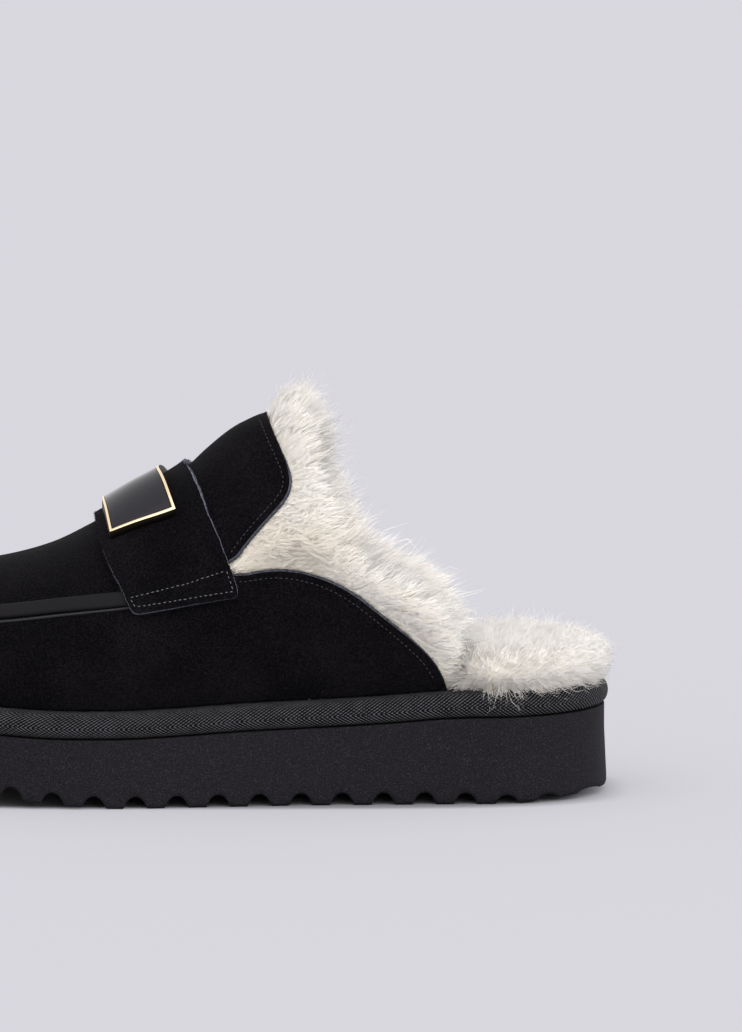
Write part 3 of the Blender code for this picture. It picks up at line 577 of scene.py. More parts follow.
def furred_surface(columns, rows, place_at, pile_at):
    """A grid whose vertices carry how dense and how long the wool on them is, from pile_at(u, v)."""
    bm = bmesh.new()
    bmesh.ops.create_grid(bm, x_segments=columns, y_segments=rows, size=0.5)
    density = bm.verts.layers.float.new("density")
    length = bm.verts.layers.float.new("length")
    for vert in bm.verts:
        u, v = vert.co.x + 0.5, vert.co.y + 0.5
        vert[density], vert[length] = pile_at(u, v)
        vert.co = place_at(u, v)
    bmesh.ops.remove_doubles(bm, verts=bm.verts, dist=1e-6)
    return bm


def unit(vectors):
    """The vectors of an array, each at length 1."""
    return vectors / np.maximum(1e-9, np.linalg.norm(vectors, axis=1, keepdims=True))


def pick_places(corners, weights, count, rng):
    """Picks random places on triangles. Returns the function that reads a field of the vertices there."""
    picked = corners[rng.choice(len(corners), count, p=weights / weights.sum())]
    shares = rng.dirichlet((1.0, 1.0, 1.0), count)

    def spread(field):
        return (field[picked] * shares.reshape(count, 3, *[1] * (field.ndim - 1))).sum(axis=1)

    return spread


def scatter(piece, count, rng):
    """Random places on a furred surface: points, normals and wool lengths."""
    mesh = piece.data
    mesh.calc_loop_triangles()
    corners = np.zeros(len(mesh.loop_triangles) * 3, int)
    mesh.loop_triangles.foreach_get("vertices", corners)
    corners = corners.reshape(-1, 3)
    places = np.zeros(len(mesh.vertices) * 3)
    mesh.vertices.foreach_get("co", places)
    places = places.reshape(-1, 3)
    normals = np.array([vert.normal for vert in mesh.vertices])
    values = {}
    for key in ("density", "length"):
        values[key] = np.zeros(len(mesh.vertices))
        mesh.attributes[key].data.foreach_get("value", values[key])
    a, b, c = (places[corners[:, k]] for k in range(3))
    weight = np.linalg.norm(np.cross(b - a, c - a), axis=1) * values["density"][corners].mean(axis=1)
    spread = pick_places(corners, weight, count, rng)
    return spread(places), unit(spread(normals)), spread(values["length"])


def grow_wool(name, node, roots, leans, normals, lengths, rng, pieces, clear=None, painted_shade=0.0):
    """Strands from the roots: three-sided spindles that bow once, lean as told and gather into locks at their
    tips. They are shaded with the normals of the fleece that they grow on. Clear tells which places a strand
    may pass. Their UV map holds a tint and the growth from root to tip."""
    count = len(roots)
    leaders = rng.choice(count, max(1, count // STRANDS_IN_LOCK), replace=False)
    tree = KDTree(len(leaders))
    for k, leader in enumerate(leaders):
        tree.insert(roots[leader], k)
    tree.balance()
    led = leaders[[tree.find(root)[1] for root in roots]]
    stray = rng.random(count) < STRAY_SHARE
    lengths = lengths * rng.uniform(0.55, 1.10, count) * rng.uniform(0.70, 1.35, count)[led]
    lengths[stray] *= STRAY_LENGTH
    leans = leans + rng.normal(0.0, LOCK_LEAN, (count, 3))[led]
    leans = unit(leans + rng.normal(0.0, STRAND_LEAN, (count, 3)) * np.where(stray, STRAY_LEAN, 1.0)[:, None])
    tips = roots + leans * lengths[:, None]
    pull = np.where(stray, STRAY_GATHER, LOCK_GATHER * rng.uniform(0.6, 1.2, count))[:, None]
    tips += ((tips[led] + 0.30 * (roots - roots[led])) - tips) * pull
    middles = 0.5 * (roots + tips) + normals * (STRAND_BOW * lengths * rng.uniform(0.2, 1.6, count))[:, None]
    middles += rng.normal(0.0, 0.05, (count, 3)) * lengths[:, None]
    # painted_shade turns a strand's tint towards the warm, darker end of the ramp: painted shade.
    tints = np.clip(0.5 * rng.random(count) + 0.5 * rng.random(count)[led], 0, 1) * (1 - painted_shade)
    side = unit(np.cross(tips - roots, rng.normal(0.0, 1.0, (count, 3))))
    other = unit(np.cross(tips - roots, side))
    shading = unit(normals + 0.15 * unit(tips - roots) + 0.05 * side)
    kept = np.arange(count)
    if clear:
        kept = kept[clear(middles) & clear(tips)]
    for part, chosen in enumerate(np.array_split(kept, pieces)):
        n = len(chosen)
        ring = [
            middles[chosen] + STRAND_WIDTH * (math.cos(turn) * side[chosen] + math.sin(turn) * other[chosen])
            for turn in (0, 2 * math.pi / 3, 4 * math.pi / 3)
        ]
        points = np.stack([roots[chosen], *ring, tips[chosen]], axis=1)
        pattern = np.array([(0, 2, 1), (0, 3, 2), (0, 1, 3), (1, 2, 4), (2, 3, 4), (3, 1, 4)])
        faces = (np.arange(n)[:, None, None] * 5 + pattern[None]).reshape(-1)
        mesh = bpy.data.meshes.new(name)
        mesh.vertices.add(n * 5)
        mesh.vertices.foreach_set("co", points.reshape(-1))
        mesh.loops.add(len(faces))
        mesh.loops.foreach_set("vertex_index", faces)
        mesh.polygons.add(len(faces) // 3)
        mesh.polygons.foreach_set("loop_start", np.arange(len(faces) // 3) * 3)
        mesh.update(calc_edges=True)
        growth = np.array([0.0, 0.5, 0.5, 0.5, 1.0])
        uv = np.zeros((len(faces), 2))
        uv[:, 0] = tints[chosen][faces // 5]
        uv[:, 1] = growth[faces % 5]
        mesh.uv_layers.new(name="OFBake").data.foreach_set("uv", uv.reshape(-1))
        mesh.materials.append(wool)
        mesh.shade_smooth()
        mesh.normals_split_custom_set_from_vertices(np.repeat(shading[chosen], 5, axis=0))
        piece = scene_object(f"{name}_{part + 1}", mesh)
        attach(piece, "root")
        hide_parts(node)


FOOTBED_STEPS = 70
# Rows of the footbed's section, each a level in piles, a bulge and a share of the width.
bed_sections = [(0.0, -1.4, 1.0), (0.06, -1.2, 1.0), (0.20, -0.4, 1.0), (0.40, 0.5, 1.0), (0.60, 0.9, 1.0)]
bed_sections += [(0.76, 0.60, 1.0), (0.88, -0.10, 1.0), (0.95, -1.0, 1.0), (0.98, -1.0, 0.86)]
bed_sections += [(1.0, -1.0, 0.6), (0.99, -1.0, 0.3), (0.98, -1.0, 0.0)]
bed_path = rim_path(FOOTBED_STEPS)


def opened(run):
    """How far the fleece is spread at a run: 0 in the shoe and 1 on the open heel."""
    return smooth(run, HEEL_OPENS[0] * SOLE_LENGTH, HEEL_OPENS[1] * SOLE_LENGTH)


def footbed_point(u, v):
    share, side, _ = bed_path[round(u * 2 * FOOTBED_STEPS)]
    level, bulge, narrow = bed_sections[round(v * (len(bed_sections) - 1))]
    start = FOOTBED_HEEL_INSET - FOOTBED_BULGE * bulge * FOOTBED_PILE
    shorten = (1 - narrow) * BALL_WIDTH / 3
    run = mix(start, SOLE_LENGTH - FOOTBED_LINED_INSET, share)
    half = half_width(run, mix(FOOTBED_LINED_INSET, start, opened(run)))
    shown = mix(start + shorten, SOLE_LENGTH - FOOTBED_LINED_INSET - shorten, share)
    pile = mix(FOOTBED_FRONT_PILE, FOOTBED_PILE, opened(shown))
    return Vector((x_at(shown), middle(shown) + side * narrow * half, floor_of_upper(shown) + level * pile))


def footbed_pile(u, v):
    level = bed_sections[round(v * (len(bed_sections) - 1))][0]
    free = opened(bed_path[round(u * 2 * FOOTBED_STEPS)][0] * SOLE_LENGTH)
    return mix(0.12, 1.5 if level < 0.95 else 0.9, free), FOOTBED_WOOL * mix(0.7, 1.0, free)


bm = furred_surface(2 * FOOTBED_STEPS, len(bed_sections) - 1, footbed_point, footbed_pile)
bmesh.ops.recalc_face_normals(bm, faces=bm.faces)
footbed = finish_mesh(bm, "footbed_core", wool_core)
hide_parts("footbed_fleece")

rng = np.random.default_rng(11)
roots, normals, lengths = scatter(footbed, FOOTBED_STRANDS, rng)
rearward = np.clip((roots[:, 0] - x_at(REARWARD_FROM * SOLE_LENGTH)) / REARWARD_OVER, 0, 1)
flow = np.stack([0.25 + 0.30 * rearward, 0.0 * rearward, 0.25 - 0.45 * (normals[:, 2] > 0.6)], axis=1)
lengths *= 1 - 0.22 * rearward
leans = FOOTBED_OUTWARD * normals + flow
grow_wool("footbed_wool", "footbed_fleece", roots, leans, normals, lengths, rng, pieces=2)

# Side wall and quarters: black suede from the sole up to the seam of the apron, and behind the strap up to
# its own cut edge, which falls in a curve to the sole. The cut edge shows the raw grey of the hide, paler
# also as a painted highlight, and a row of stitches.

INSTEP_RISE = 0.0960
UPPER_INSET = 0.0042
WALL = 0.0022
WALL_TUCK = 0.0026
TUCK_HEIGHT = 0.0130
FOOT_BLACK = 0.0016
CUT_EDGE_ROUND = 0.0008
TOE_CAP_ROUND = 0.190
TOE_CAP_SQUARENESS = 2.4
SUEDE_COLOUR = (0.0007, 0.0005, 0.0008)
SUEDE_BRUSHED = (0.0066, 0.0056, 0.0072)
RAW_EDGE_AND_HIGHLIGHT = (0.090, 0.092, 0.115)
THREAD_COLOUR = (0.032, 0.032, 0.036)
FUZZ_COLOUR = (0.022, 0.022, 0.026)
FUZZ_COUNT = 3500
FUZZ_WIDTH = 0.00005
FUZZ_REACH = 0.0011
BRUSHED_SHARE = 0.28
STITCH_PITCH = 0.0018
STITCH_LENGTH = 0.0012
STITCH_RADIUS = 0.00017
STITCH_MARGIN = 0.0030
STITCH_LIFT = 0.00005
STITCH_UNEVENNESS = 0.14
STITCH_SLANT = 0.07

Ridge = namedtuple("Ridge", "station height squareness")
RIDGE = [
    Ridge(0.160, 1.012, 2.60),
    Ridge(0.400, 1.018, 2.45),
    Ridge(0.443, 1.011, 2.32),
    Ridge(0.476, 0.979, 2.20),
    Ridge(0.493, 0.953, 2.14),
    Ridge(0.523, 0.890, 2.06),
    Ridge(0.553, 0.818, 2.02),
    Ridge(0.620, 0.717, 2.02),
    Ridge(0.677, 0.621, 2.06),
    Ridge(0.726, 0.552, 2.10),
    Ridge(0.786, 0.496, 2.15),
    Ridge(0.830, 0.468, 2.20),
    Ridge(0.880, 0.440, 2.30),
    Ridge(1.000, 0.400, 2.40),
]
Edge = namedtuple("Edge", "station level")
QUARTER_EDGE = [
    Edge(0.2030, -0.060),
    Edge(0.2075, 0.000),
    Edge(0.2150, 0.060),
    Edge(0.2256, 0.114),
    Edge(0.2425, 0.169),
    Edge(0.2684, 0.238),
    Edge(0.2944, 0.302),
    Edge(0.3203, 0.363),
    Edge(0.3459, 0.411),
    Edge(0.3722, 0.446),
    Edge(0.4045, 0.473),
    Edge(0.4305, 0.481),
    Edge(0.4523, 0.478),
    Edge(0.4700, 0.471),
    Edge(0.4861, 0.472),
    Edge(0.5150, 0.487),
]
SEAM = [
    Edge(0.54, 0.425),
    Edge(0.63, 0.399),
    Edge(0.71, 0.372),
    Edge(0.79, 0.334),
    Edge(0.87, 0.300),
    Edge(0.98, 0.262),
]
WALL_ROWS = 120
WALL_STEPS = 24


def tip(depth=0.0):
    """Run of the upper's tip at a depth below its outer skin."""
    return SOLE_LENGTH - UPPER_INSET - depth


def ridge(run, depth=0.0):
    """Height of the upper's ridge line over its foot, at a depth square to the skin."""
    station = run / SOLE_LENGTH
    reach = 0.01
    rise = along(RIDGE, "height", station + reach) - along(RIDGE, "height", station - reach)
    slope = rise * INSTEP_RISE / (2 * reach * SOLE_LENGTH)
    cap = TOE_CAP_ROUND * SOLE_LENGTH - UPPER_INSET - depth
    height = along(RIDGE, "height", station) * INSTEP_RISE - depth * math.hypot(1.0, slope)
    return height * rounded((tip(depth) - run) / cap, TOE_CAP_SQUARENESS)


def skin(run, angle, depth=0.0):
    """A point of the upper at a depth below its outer skin. The angle goes from 0 at the outer side's foot
    over the ridge to pi at the inner side's foot."""
    power = 2 / along(RIDGE, "squareness", run / SOLE_LENGTH)
    level = ridge(run, depth) * max(0.0, math.sin(angle)) ** power
    across = half_width(run, UPPER_INSET + depth) * abs(math.cos(angle)) ** power
    tuck = WALL_TUCK * max(0.0, 1 - level / TUCK_HEIGHT) ** 2
    across = max(0.0, across - tuck * min(1.0, across / TUCK_HEIGHT))
    side = -1 if angle < math.pi / 2 else 1
    return Vector((x_at(run), middle(run) + side * across, floor_of_upper(run) + level))


def angle_at(run, level):
    """Angle on the outer side at which the skin is that far above its foot."""
    share = min(1.0, max(0.0, level / max(1e-6, ridge(run))))
    return math.asin(share ** (along(RIDGE, "squareness", run / SOLE_LENGTH) / 2))


def skin_normal(run, angle):
    """Outward normal of the upper's skin."""
    fore = min(run + 0.001, tip() - 0.0002)
    along_run = skin(fore, angle) - skin(fore - 0.002, angle)
    over = skin(run, angle + 0.02) - skin(run, angle - 0.02)
    return over.cross(along_run).normalized()


def seam_front():
    """Run at which the apron's seam crosses the ridge line, at the front of the toe."""
    low, high = 0.7 * SOLE_LENGTH, tip()
    for _ in range(40):
        front = 0.5 * (low + high)
        if along(SEAM, "level", front / SOLE_LENGTH) * INSTEP_RISE < ridge(front):
            low = front
        else:
            high = front
    return low


FRONT = seam_front()


def thicken(bm, depth, edge_round):
    """Gives a suede panel its thickness inwards, a rounded cut edge and the raw hide's finish round that edge,
    whose paler grey is also a painted highlight."""
    facing = 0.0
    for face in bm.faces:
        centre = face.calc_center_median()
        run = SOLE_LENGTH / 2 - centre.x
        facing += face.normal.dot(centre - Vector((centre.x, middle(run), floor_of_upper(run))))
    if facing < 0:
        bmesh.ops.reverse_faces(bm, faces=bm.faces)
    outer = set(bm.verts)
    rim = [edge for edge in bm.edges if edge.is_boundary]
    bmesh.ops.solidify(bm, geom=list(bm.faces), thickness=depth)
    for face in bm.faces:
        inside = sum(vert in outer for vert in face.verts)
        face.material_index = 1 if 0 < inside < len(face.verts) else 0
    bmesh.ops.bevel(bm, geom=rim, offset=edge_round, segments=3, profile=0.5, affect="EDGES", material=1)
    for face in bm.faces:
        centre = face.calc_center_median()
        if centre.z < floor_of_upper(SOLE_LENGTH / 2 - centre.x) + FOOT_BLACK:
            face.material_index = 0


def fuzz(piece, node, seed):
    """Short loose fibres that stand out of the raw cut edge of a suede panel, as one joined mesh of thin
    spikes."""
    rng = np.random.default_rng(seed)
    count = FUZZ_COUNT
    mesh = piece.data
    mesh.calc_loop_triangles()
    triangles = [triangle for triangle in mesh.loop_triangles if triangle.material_index == 1]
    corners = np.array([triangle.vertices[:] for triangle in triangles])
    areas = np.array([triangle.area for triangle in triangles])
    spread = pick_places(corners, areas, count, rng)
    roots = spread(np.array([vert.co for vert in mesh.vertices]))
    directions = unit(spread(np.array([vert.normal for vert in mesh.vertices])))
    leans = unit(directions + rng.normal(0.0, 0.55, (count, 3)))
    tips = roots + leans * (FUZZ_REACH * rng.uniform(0.3, 1.0, count) ** 1.5)[:, None]
    side = unit(np.cross(leans, rng.normal(0.0, 1.0, (count, 3)))) * FUZZ_WIDTH
    other = np.cross(leans, side)
    ring = [roots + side, roots - 0.5 * side + 0.87 * other, roots - 0.5 * side - 0.87 * other]
    points = np.stack(ring + [tips], axis=1).reshape(-1, 3)
    pattern = np.array([(0, 1, 3), (1, 2, 3), (2, 0, 3)])
    faces = (np.arange(count)[:, None, None] * 4 + pattern[None]).reshape(-1, 3)
    made = bpy.data.meshes.new(piece.name + "_fuzz")
    made.from_pydata(points.tolist(), [], faces.tolist())
    made.materials.append(fuzz_paint)
    fluff = scene_object(made.name, made)
    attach(fluff, "root")
    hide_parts(node)


fuzz_paint = new_material("loose suede fibre", 0.9, FUZZ_COLOUR, 0.1)[0]
suede, tree, shader = new_material(
    "black suede", 0.95, SUEDE_COLOUR, 0.04, sheen_weight=0.012, sheen_roughness=0.55
)
brushed = math_node(tree, "MULTIPLY", noise(tree, 42, 4.0, 0.6), BRUSHED_SHARE)
nap = noise(tree, 1500, 2.0, 0.8)
shade = math_node(tree, "ADD", brushed, math_node(tree, "MULTIPLY", nap, 1 - BRUSHED_SHARE))
tree.links.new(ramp(tree, shade, [(0.44, SUEDE_COLOUR), (0.64, SUEDE_BRUSHED)]), shader.inputs["Base Color"])
normal = bump(tree, shader, nap, 0.6, 0.0004)
bump(tree, shader, noise(tree, 130, 3.0), 0.18, 0.0009, normal)


def raw_hide_and_highlight(name, colour):
    """The fibrous cut edge of a hide, paler also as a painted highlight along the edge."""
    hide, tree, shader = new_material(name, 1.0, colour, 0.05)
    fibrous = noise(tree, 700, 3.0, 0.7)
    tone = ramp(tree, fibrous, [(0.35, tuple(0.35 * c for c in colour)), (0.70, colour)])
    tree.links.new(tone, shader.inputs["Base Color"])
    bump(tree, shader, fibrous, 0.8, 0.0006)
    return hide


def thread_material(name, roughness, colour, specular):
    """Sewing thread with its fine fibre."""
    thread, tree, shader = new_material(name, roughness, colour, specular)
    bump(tree, shader, noise(tree, 2600, 1.0), 0.4, 0.0001)
    return thread


def suede_panel(bm, name, node, depth, edge_round, raw, seed):
    """A suede piece from its outer face: its thickness, its raw cut edge and the fuzz on that edge."""
    bmesh.ops.recalc_face_normals(bm, faces=bm.faces)
    thicken(bm, depth, edge_round)
    panel = finish_mesh(bm, name, suede, 50)
    panel.data.materials.append(raw)
    fuzz(panel, node, seed)
    return panel


# The cut edges' grey-blue is partly the hide's raw fibre and partly a painted highlight along the edge.
raw_edge_and_highlight = raw_hide_and_highlight("raw edge of the hide with painted highlight", RAW_EDGE_AND_HIGHLIGHT)
black_thread = thread_material("black thread", 0.7, THREAD_COLOUR, 0.15)


def wall_top(run):
    """Angle of the panel's upper edge at a run: the quarter's cut edge, then the seam, then the middle of the
    toe."""
    if run >= FRONT:
        return math.pi / 2
    return angle_at(run, along(QUARTER_EDGE + SEAM, "level", run / SOLE_LENGTH) * INSTEP_RISE)


def wall_run(u):
    """Runs that crowd towards the quarter's foot and the tip of the toe."""
    return mix(QUARTER_EDGE[1].station * SOLE_LENGTH, tip(), crowded(u))


def sew(name, spans, thread):
    """Stitches of thread over spans, each a start, an end and the normal there."""
    bm = bmesh.new()
    for start, end, normal in spans:
        run_way = end - start
        turn = run_way.to_track_quat("X", "Z").to_matrix().to_4x4()
        shape = Matrix.Diagonal((0.5 * run_way.length, STITCH_RADIUS, STITCH_RADIUS, 1.0))
        centre = Matrix.Translation(0.5 * (start + end) + normal * (0.5 * STITCH_RADIUS))
        bmesh.ops.create_uvsphere(bm, u_segments=6, v_segments=5, radius=1.0, matrix=centre @ turn @ shape)
    return finish_mesh(bm, name, thread)


def seam_spans(places):
    """Splits a line of (point, normal) pairs into stitches at the stitch pitch."""
    spans = []
    lengths = running_lengths([point for point, _ in places])

    def at(distance):
        k = max(i for i in range(len(lengths) - 1) if lengths[i] <= distance)
        share = (distance - lengths[k]) / max(1e-9, lengths[k + 1] - lengths[k])
        return places[k][0].lerp(places[k + 1][0], share), places[k][1]

    count = int(lengths[-1] / STITCH_PITCH)
    for k in range(count):
        first = (lengths[-1] - count * STITCH_PITCH) / 2 + k * STITCH_PITCH
        start, normal = at(first)
        long = STITCH_LENGTH * (1 + STITCH_UNEVENNESS * math.sin(5.1 * k))
        end, _ = at(min(first + long, lengths[-1] - 1e-7))
        start += normal.cross(end - start) * (STITCH_SLANT * math.sin(3.7 * k))
        spans.append((start, end, normal))
    return spans


def flipped(angle, side):
    """An angle of the outer side as it is, or mirrored to the inner side where side is positive."""
    return angle if side < 0 else math.pi - angle


bm = bmesh.new()
for side in (-1, 1):
    half = grid_surface(
        WALL_ROWS, WALL_STEPS, lambda u, v: skin(wall_run(u), flipped(v * wall_top(wall_run(u)), side)),
    )
    mesh = bpy.data.meshes.new("half")
    half.to_mesh(mesh)
    half.free()
    bm.from_mesh(mesh)
    bpy.data.meshes.remove(mesh)
bmesh.ops.remove_doubles(bm, verts=bm.verts, dist=1e-6)
wall = suede_panel(bm, "suede_wall", "upper", WALL, CUT_EDGE_ROUND, raw_edge_and_highlight, 31)
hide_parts("upper")


def corner_cut(points):
    """A line of points with each corner cut off, so that two rounds of it make a smooth line."""
    cut_line = [points[0]]
    for (ax, az), (bx, bz) in zip(points, points[1:]):
        cut_line += [(mix(ax, bx, 0.25), mix(az, bz, 0.25)), (mix(ax, bx, 0.75), mix(az, bz, 0.75))]
    return cut_line + [points[-1]]


def side_line(rows, inwards=0.0):
    """A cut edge in side view as runs and levels, smoothed and moved into the suede, which lies left of its
    way."""
    line = corner_cut(corner_cut([(row.station * SOLE_LENGTH, row.level * INSTEP_RISE) for row in rows]))
    moved = []
    for i, (run, level) in enumerate(line):
        before, after = line[max(0, i - 1)], line[min(len(line) - 1, i + 1)]
        across, up = after[0] - before[0], after[1] - before[1]
        length = math.hypot(across, up)
        moved.append((run + inwards * up / length, level - inwards * across / length))
    return moved


def on_skin(line, off):
    """Points just over the skin and normals along a side-view line on the outer side."""
    placed = []
    for run, level in line:
        angle = angle_at(run, level)
        placed.append((skin(run, angle, -off), skin_normal(run, min(angle, math.pi / 2 - 0.03))))
    return placed


def mirrored(placed):
    """The same line on the inner side of the shoe."""
    other = []
    for point, normal in placed:
        centre = 2 * middle(SOLE_LENGTH / 2 - point.x)
        other.append((Vector((point.x, centre - point.y, point.z)), Vector((normal.x, -normal.y, normal.z))))
    return other


quarter_row = on_skin(side_line(QUARTER_EDGE[2:], STITCH_MARGIN), STITCH_LIFT)
sewing = sew("quarter_stitches", seam_spans(quarter_row) + seam_spans(mirrored(quarter_row)), black_thread)

# Apron and tongue: one piece of black suede over the instep, from the toe seam back and up into a rounded
# tongue that stands over the collar. Cut edge and stitches as on the quarters.

TONGUE_EDGE = [
    Edge(0.5150, 0.487),
    Edge(0.4820, 0.520),
    Edge(0.4718, 0.559),
    Edge(0.4564, 0.609),
    Edge(0.4368, 0.667),
    Edge(0.4211, 0.711),
    Edge(0.4118, 0.751),
    Edge(0.4092, 0.794),
    Edge(0.4130, 0.838),
    Edge(0.4226, 0.895),
    Edge(0.4342, 0.962),
    Edge(0.4410, 1.003),
    Edge(0.4432, 1.011),
]
APRON_ROWS = 140
APRON_STEPS = 44
BORDER_POINTS = 60


def apron_border():
    """Half the apron's border, from the front of the toe along the seam and up the tongue to the crest, as
    evenly spaced runs and angles."""
    line = []
    for k in range(BORDER_POINTS + 1):
        share = 1 - math.cos(0.5 * math.pi * k / BORDER_POINTS)
        run = mix(FRONT, SEAM[0].station * SOLE_LENGTH, share)
        line.append((run, along(SEAM, "level", run / SOLE_LENGTH) * INSTEP_RISE))
    line += side_line(TONGUE_EDGE)[1:]
    places = [(run, angle_at(run, level)) for run, level in line]
    places[0] = (FRONT, math.pi / 2)
    places[-1] = (places[-1][0], math.pi / 2)
    lengths = running_lengths([skin(run, angle) for run, angle in places])
    border, k = [], 0
    for i in range(APRON_ROWS + 1):
        distance = lengths[-1] * i / APRON_ROWS
        while k < len(lengths) - 2 and lengths[k + 1] < distance:
            k += 1
        share = (distance - lengths[k]) / max(1e-9, lengths[k + 1] - lengths[k])
        border.append(tuple(mix(a, b, share) for a, b in zip(places[k], places[k + 1])))
    return border


border = apron_border()
crest_run = border[-1][0]


def apron_point(u, v):
    row = round(u * APRON_ROWS)
    run, angle = border[row]
    middle_run = mix(FRONT, crest_run, crowded(u) * 0.4 + 0.6 * u)
    spread = abs(2 * v - 1)
    return skin(mix(middle_run, run, spread), flipped(mix(math.pi / 2, angle, spread), -1 if v < 0.5 else 1))


bm = grid_surface(APRON_ROWS, APRON_STEPS, apron_point)
bmesh.ops.remove_doubles(bm, verts=bm.verts, dist=1e-6)
apron = suede_panel(bm, "apron_and_tongue", "upper", WALL, CUT_EDGE_ROUND, raw_edge_and_highlight, 32)
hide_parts("upper")

tongue_row = on_skin(side_line(TONGUE_EDGE[1:], STITCH_MARGIN), STITCH_LIFT)
tongue_row = tongue_row + mirrored(tongue_row)[::-1]
sewing = sew("tongue_stitches", seam_spans(tongue_row), black_thread)

# Lining: sheepskin under the whole upper. Its fleece puffs out past the suede's cut edge into an open cuff
# that runs from the sole over the tongue, and its long wool fans out rearwards and up.

LINING_PILE = 0.0060
CUFF_PUFF = 0.0020
CREST_PUFF = 0.0040
CUFF_ROUNDING = 0.0085
CUFF_HELD_BACK = 0.0030
CUFF_WOOL = 0.0135
INNER_WOOL = 0.0075
LINING_STRANDS = 98500
NOTCH_RUN = 0.124
NOTCH_LEVEL = 0.0505
NOTCH_REACH = (0.030, 0.012)
NOTCH_SHADE = 0.9
CUFF_OUTWARD = 0.62
CUFF_FOOT, CUFF_HEIGHT = 0.045, 0.085
EDGE_PULL, EDGE_PULL_REACH = 0.8, 0.012
STRAP_REAR = 0.540
LINING_AXIS = 0.035
SUEDE_CLEARANCE = 0.0008
Cuff = namedtuple("Cuff", "level station")
CUFF = [
    Cuff(0.00, 0.192),
    Cuff(0.08, 0.193),
    Cuff(0.17, 0.200),
    Cuff(0.25, 0.216),
    Cuff(0.33, 0.245),
    Cuff(0.40, 0.283),
    Cuff(0.48, 0.325),
    Cuff(0.57, 0.352),
    Cuff(0.66, 0.366),
    Cuff(0.76, 0.374),
    Cuff(0.86, 0.382),
    Cuff(0.95, 0.392),
    Cuff(1.00, 0.402),
]
CUFF_ANGLES = 72
INNER_ROWS = 34
OUTER_STEPS = [0.0, 0.0006, 0.0020, 0.0042, 0.0072, 0.0110, 0.0150, 0.0200, 0.0250, 0.0300, 0.0350, 0.0400]
OUTER_STEPS += [0.0460, 0.0520]
topline = side_line(TONGUE_EDGE)[::-1] + side_line(QUARTER_EDGE)[::-1]
behind = topline + [(-0.02, topline[-1][1]), (-0.02, 1.5 * INSTEP_RISE), (topline[0][0], 1.5 * INSTEP_RISE)]


def beyond_topline(run, level):
    """Distance from the suede's cut edge in side view: positive in the opening, negative on the suede."""
    nearest = 1.0
    for (ax, az), (bx, bz) in zip(topline, topline[1:]):
        span = max(1e-12, (bx - ax) ** 2 + (bz - az) ** 2)
        t = min(1.0, max(0.0, ((run - ax) * (bx - ax) + (level - az) * (bz - az)) / span))
        nearest = min(nearest, math.hypot(run - mix(ax, bx, t), level - mix(az, bz, t)))
    inside = False
    for (ax, az), (bx, bz) in zip(behind, behind[1:] + behind[:1]):
        if (az > level) != (bz > level) and run < mix(ax, bx, (level - az) / (bz - az)):
            inside = not inside
    return nearest if inside else -nearest


def cuff_start(angle):
    """Run at which the cuff ends rearwards, at an angle round the upper."""
    low, high = 0.10 * SOLE_LENGTH, 0.5 * SOLE_LENGTH
    for _ in range(30):
        run = 0.5 * (low + high)
        level = skin(run, angle).z - floor_of_upper(run)
        if run < along(CUFF, "station", level / INSTEP_RISE) * SOLE_LENGTH + CUFF_HELD_BACK:
            low = run
        else:
            high = run
    return run


def lining_place(u, v):
    """Run, angle, depth and distance past the suede's edge. u goes from the toe inside to the cuff's end, and
    from there forward again on its outside."""
    column = round(v * CUFF_ANGLES)
    row = round(u * (INNER_ROWS + len(OUTER_STEPS) - 1))
    angle, start = math.pi * column / CUFF_ANGLES, cuff_starts[column]
    deepest = WALL + 3 * GAP + LINING_PILE
    inner = row < INNER_ROWS
    if inner:
        share = 1 - row / INNER_ROWS
        run = mix(start, tip(deepest) - 0.0005, share ** 1.6)
    else:
        run = start + OUTER_STEPS[row - INNER_ROWS]
    free = beyond_topline(run, skin(run, angle).z - floor_of_upper(run))
    puff = mix(CUFF_PUFF, CREST_PUFF, smooth(math.sin(angle), 0.80, 0.99))
    puff *= smooth(STRAP_REAR * SOLE_LENGTH - run, 0.012, 0.026)
    under = WALL + 3 * GAP
    outer_depth = mix(under, -puff, smooth(free, -0.001, 0.009))
    centre = 0.5 * (outer_depth + deepest)
    fullness = rounded((run - start) / CUFF_ROUNDING, 2.0)
    return run, angle, mix(centre, deepest if inner else outer_depth, fullness), free, inner, run - start


cuff_starts = [cuff_start(math.pi * k / CUFF_ANGLES) for k in range(CUFF_ANGLES + 1)]


def lining_point(u, v):
    run, angle, depth, _, _, _ = lining_place(u, v)
    return skin(run, angle, depth)


def lining_pile(u, v):
    """Density and length of the wool: sparse inside, dense on the cuff, shorter along the suede's edge."""
    run, angle, _, free, inner, from_end = lining_place(u, v)
    crest = smooth(math.sin(angle), 0.7, 0.98)
    if inner:
        nose = smooth(from_end, 0.012, 0.0)
        density = mix(mix(0.10, 0.55, smooth(from_end, 0.070, 0.030)), 1.6, nose)
        return density, mix(INNER_WOOL, CUFF_WOOL, nose)
    density = mix(2.8, 1.8, smooth(free, 0.0, 0.010)) * smooth(free, -0.0004, 0.0012)
    return density, mix(0.42, 1.0, smooth(free, 0.0, 0.012)) * CUFF_WOOL * mix(0.92, 1.25, crest)


bm = furred_surface(INNER_ROWS + len(OUTER_STEPS) - 1, CUFF_ANGLES, lining_point, lining_pile)
bmesh.ops.recalc_face_normals(bm, faces=bm.faces)
lining = finish_mesh(bm, "lining_core", wool_core)
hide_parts("lining_fleece")


def side_view(points):
    """Runs and levels of an array of points."""
    runs = SOLE_LENGTH / 2 - points[:, 0]
    table = np.linspace(0.0, SOLE_LENGTH, 200)
    return runs, points[:, 2] - np.interp(runs, table, [floor_of_upper(run) for run in table])


